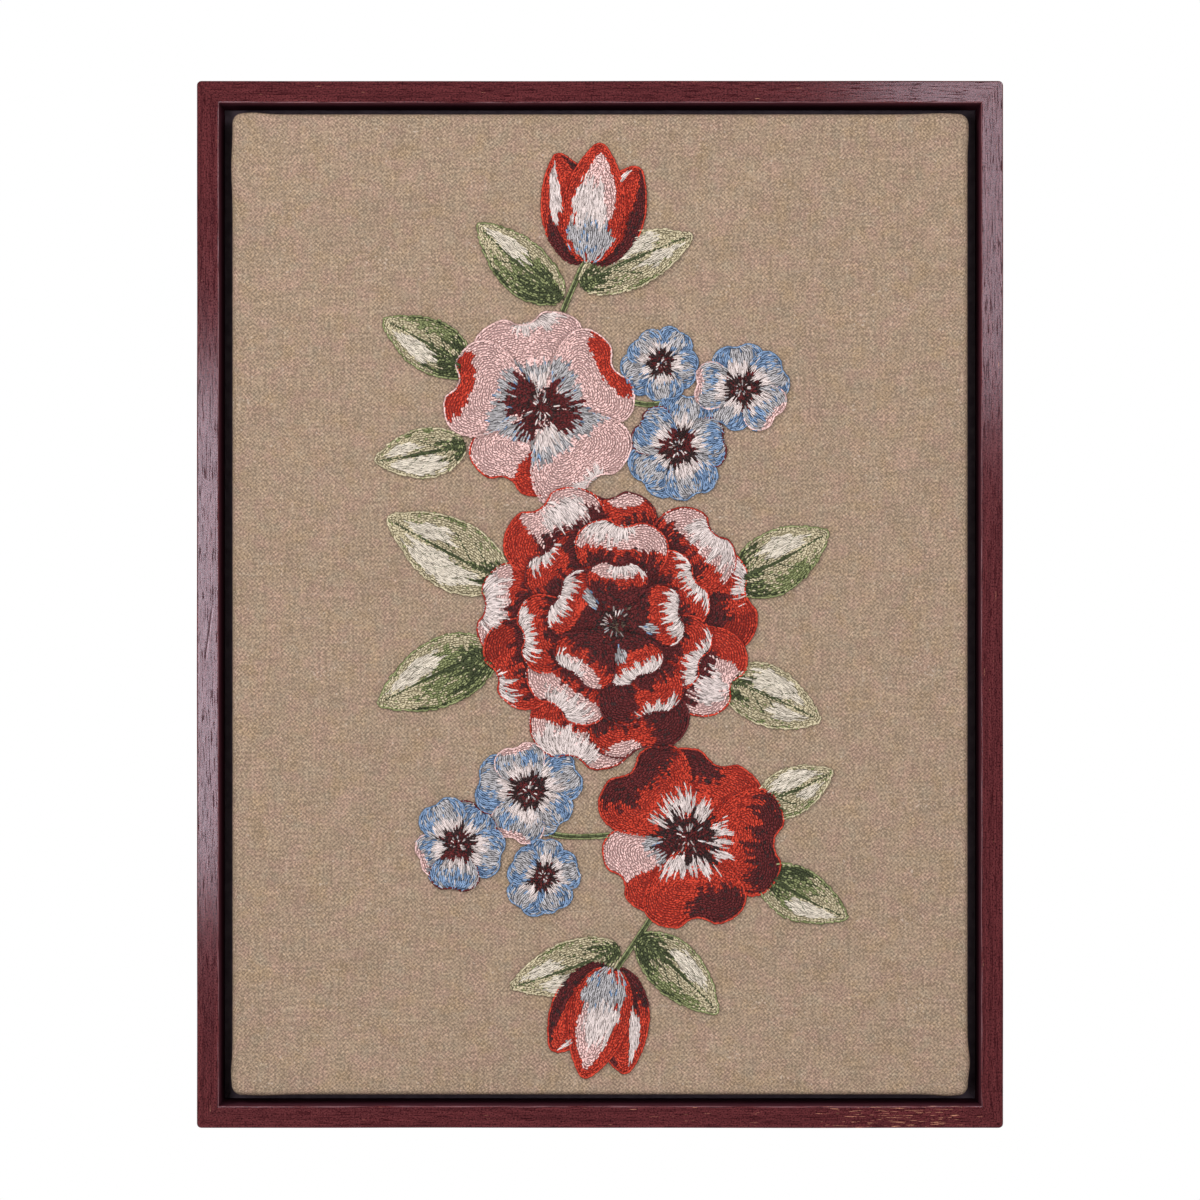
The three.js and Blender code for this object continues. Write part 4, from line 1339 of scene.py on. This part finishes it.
innerNodes = ["peony_inner", "peony_heart"]
tulipNodes = [f"tulip_{end}_{part}" for end in ("top", "bottom") for part in ("left", "right", "front")]
stemNodes = [f"stem_{k + 1}" for k in range(len(stemRows))]
pieceSpecs = {
    "peonyOuterStitches": pieceSpec("red_thread", ["peony_outer"], ["peonyOuter"]),
    "peonyMiddleStitches": pieceSpec("pink_thread", ["peony_middle"], ["peonyMiddle"]),
    "peonyInnerStitches": pieceSpec("cream_thread", innerNodes, ["peonyInner"], ["peony"]),
    "roseUpperStitches": roseSpec("pink_thread", "Upper"),
    "roseLowerStitches": roseSpec("red_thread", "Lower"),
    "tulipStitches": pieceSpec("red_thread", tulipNodes, ["tulipTop", "tulipBottom"]),
    "blueUpperStitches": blueSpec(1, 2, 3),
    "blueLowerStitches": blueSpec(4, 5, 6),
    "leafUpperStitches": leafSpec("pale_green_thread", 1, 2, 5, 6, 9, 10),
    "leafLowerStitches": leafSpec("green_thread", 3, 4, 7, 8, 11, 12),
    "stemStitches": pieceSpec("green_thread", stemNodes, stems=stemRows),
}

for name, spec in pieceSpecs.items():
    stitches = Stitches()
    for petal in [petal for motif in spec["motifs"] for petal in motifs[motif]]:
        ruffle(petal)
        padPetal(stitches, petal)
        grainPetal(stitches, petal)
        satinPetal(stitches, petal)
        outlinePetal(stitches, petal)
        veinLeaf(stitches, petal)
    for heart in spec["hearts"]:
        fillHeart(stitches, heartRows[heart])
    for stem in spec["stems"]:
        sewStem(stitches, stem)
    made = stitchMesh(name, stitches)
    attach(made, "root")
    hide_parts(*spec["nodes"])
    print(name, sum(map(len, stitches.rows)), "stitches")

# Studio, in metres: a pale floor below, soft boxes beside the camera, even light from all round
middle = -hangingHeight / 1000
floorSpec = {"half": 5.6, "below": 1.2, "tones": ("f2f0ed", "f5f4f1"), "grain": 60.0}
lightRows = namedTable(
    "x y up size power colour",
    softBoxLeft=(-0.37, -1.56, -0.024, (0.2, 0.412), 4.1, (0.93, 0.87, 1.0)),
    softBoxRight=(0.4, -1.56, 0.321, (0.36, 0.328), 3.45, (0.93, 0.87, 1.0)),
    keyLeft=(-1.0, -1.2, 1.0, (0.7, 0.7), 15.8, (1.0, 0.98, 0.96)),
    fillRight=(1.2, -1.3, 0.5, (0.8, 0.8), 7.0, (1.0, 0.98, 0.97)),
)
cameraSpec = {"lens": 118, "sensor": 36, "away": 1.632, "up": 0.0018}


def makeFloor():
    half, level = floorSpec["half"], middle - floorSpec["below"]
    corners = [(-half, -half, level), (half, -half, level), (half, half, level), (-half, half, level)]
    mesh = bpy.data.meshes.new("floor")
    mesh.from_pydata(corners, [], [(0, 1, 2, 3)])
    net = materialNet("paleFloor")
    x, y, z = [part * floorSpec["grain"] for part in net.place()]
    tone = net.mix(net.smooth(net.noise(x, y, z, detail=3.0), 0.3, 0.7), *floorSpec["tones"])
    mesh.materials.append(net.surface(Base_Color=tone, Roughness=0.9))
    made = addObject("floor", mesh)


def makeLight(name, x, y, up, size, power, colour):
    lamp = bpy.data.lights.new(name, "AREA")
    lamp.shape = "RECTANGLE"
    lamp.size, lamp.size_y = size
    lamp.energy = power
    lamp.color = colour
    made = addObject(name, lamp)
    made.location = (x, y, middle + up)
    made.rotation_mode = "QUATERNION"
    made.rotation_quaternion = Vector((-x, -y, -up)).to_track_quat("-Z", "Y")


# The backdrop is white all round, while the room in front of the picture gives little light
def makeWorld():
    world = bpy.data.worlds.new("studio")
    net = Net(world)
    behind = net.smooth(net.place("Generated")[1], -0.3, 0.3, 0.2, 1.0)
    seen = net.out(net.node("ShaderNodeLightPath"), "Is Camera Ray")
    strength = net.maths("MAXIMUM", behind, seen)
    glow = net.node("ShaderNodeBackground", None, Color=(1, 1, 1, 1), Strength=strength)
    net.node("ShaderNodeOutputWorld", None, i0=net.out(glow))
    bpy.context.scene.world = world
    bpy.context.scene.view_settings.view_transform = "Standard"


def makeCamera():
    camera = addObject("camera", bpy.data.cameras.new("camera"))
    camera.data.lens = cameraSpec["lens"]
    camera.data.sensor_width = cameraSpec["sensor"]
    camera.location = (0, -cameraSpec["away"], middle + cameraSpec["up"])
    camera.rotation_euler = (math.pi / 2, 0, 0)
    bpy.context.scene.camera = camera


makeFloor()
for name, row in lightRows.items():
    makeLight(name, **row)
makeWorld()
makeCamera()
print("studio set")
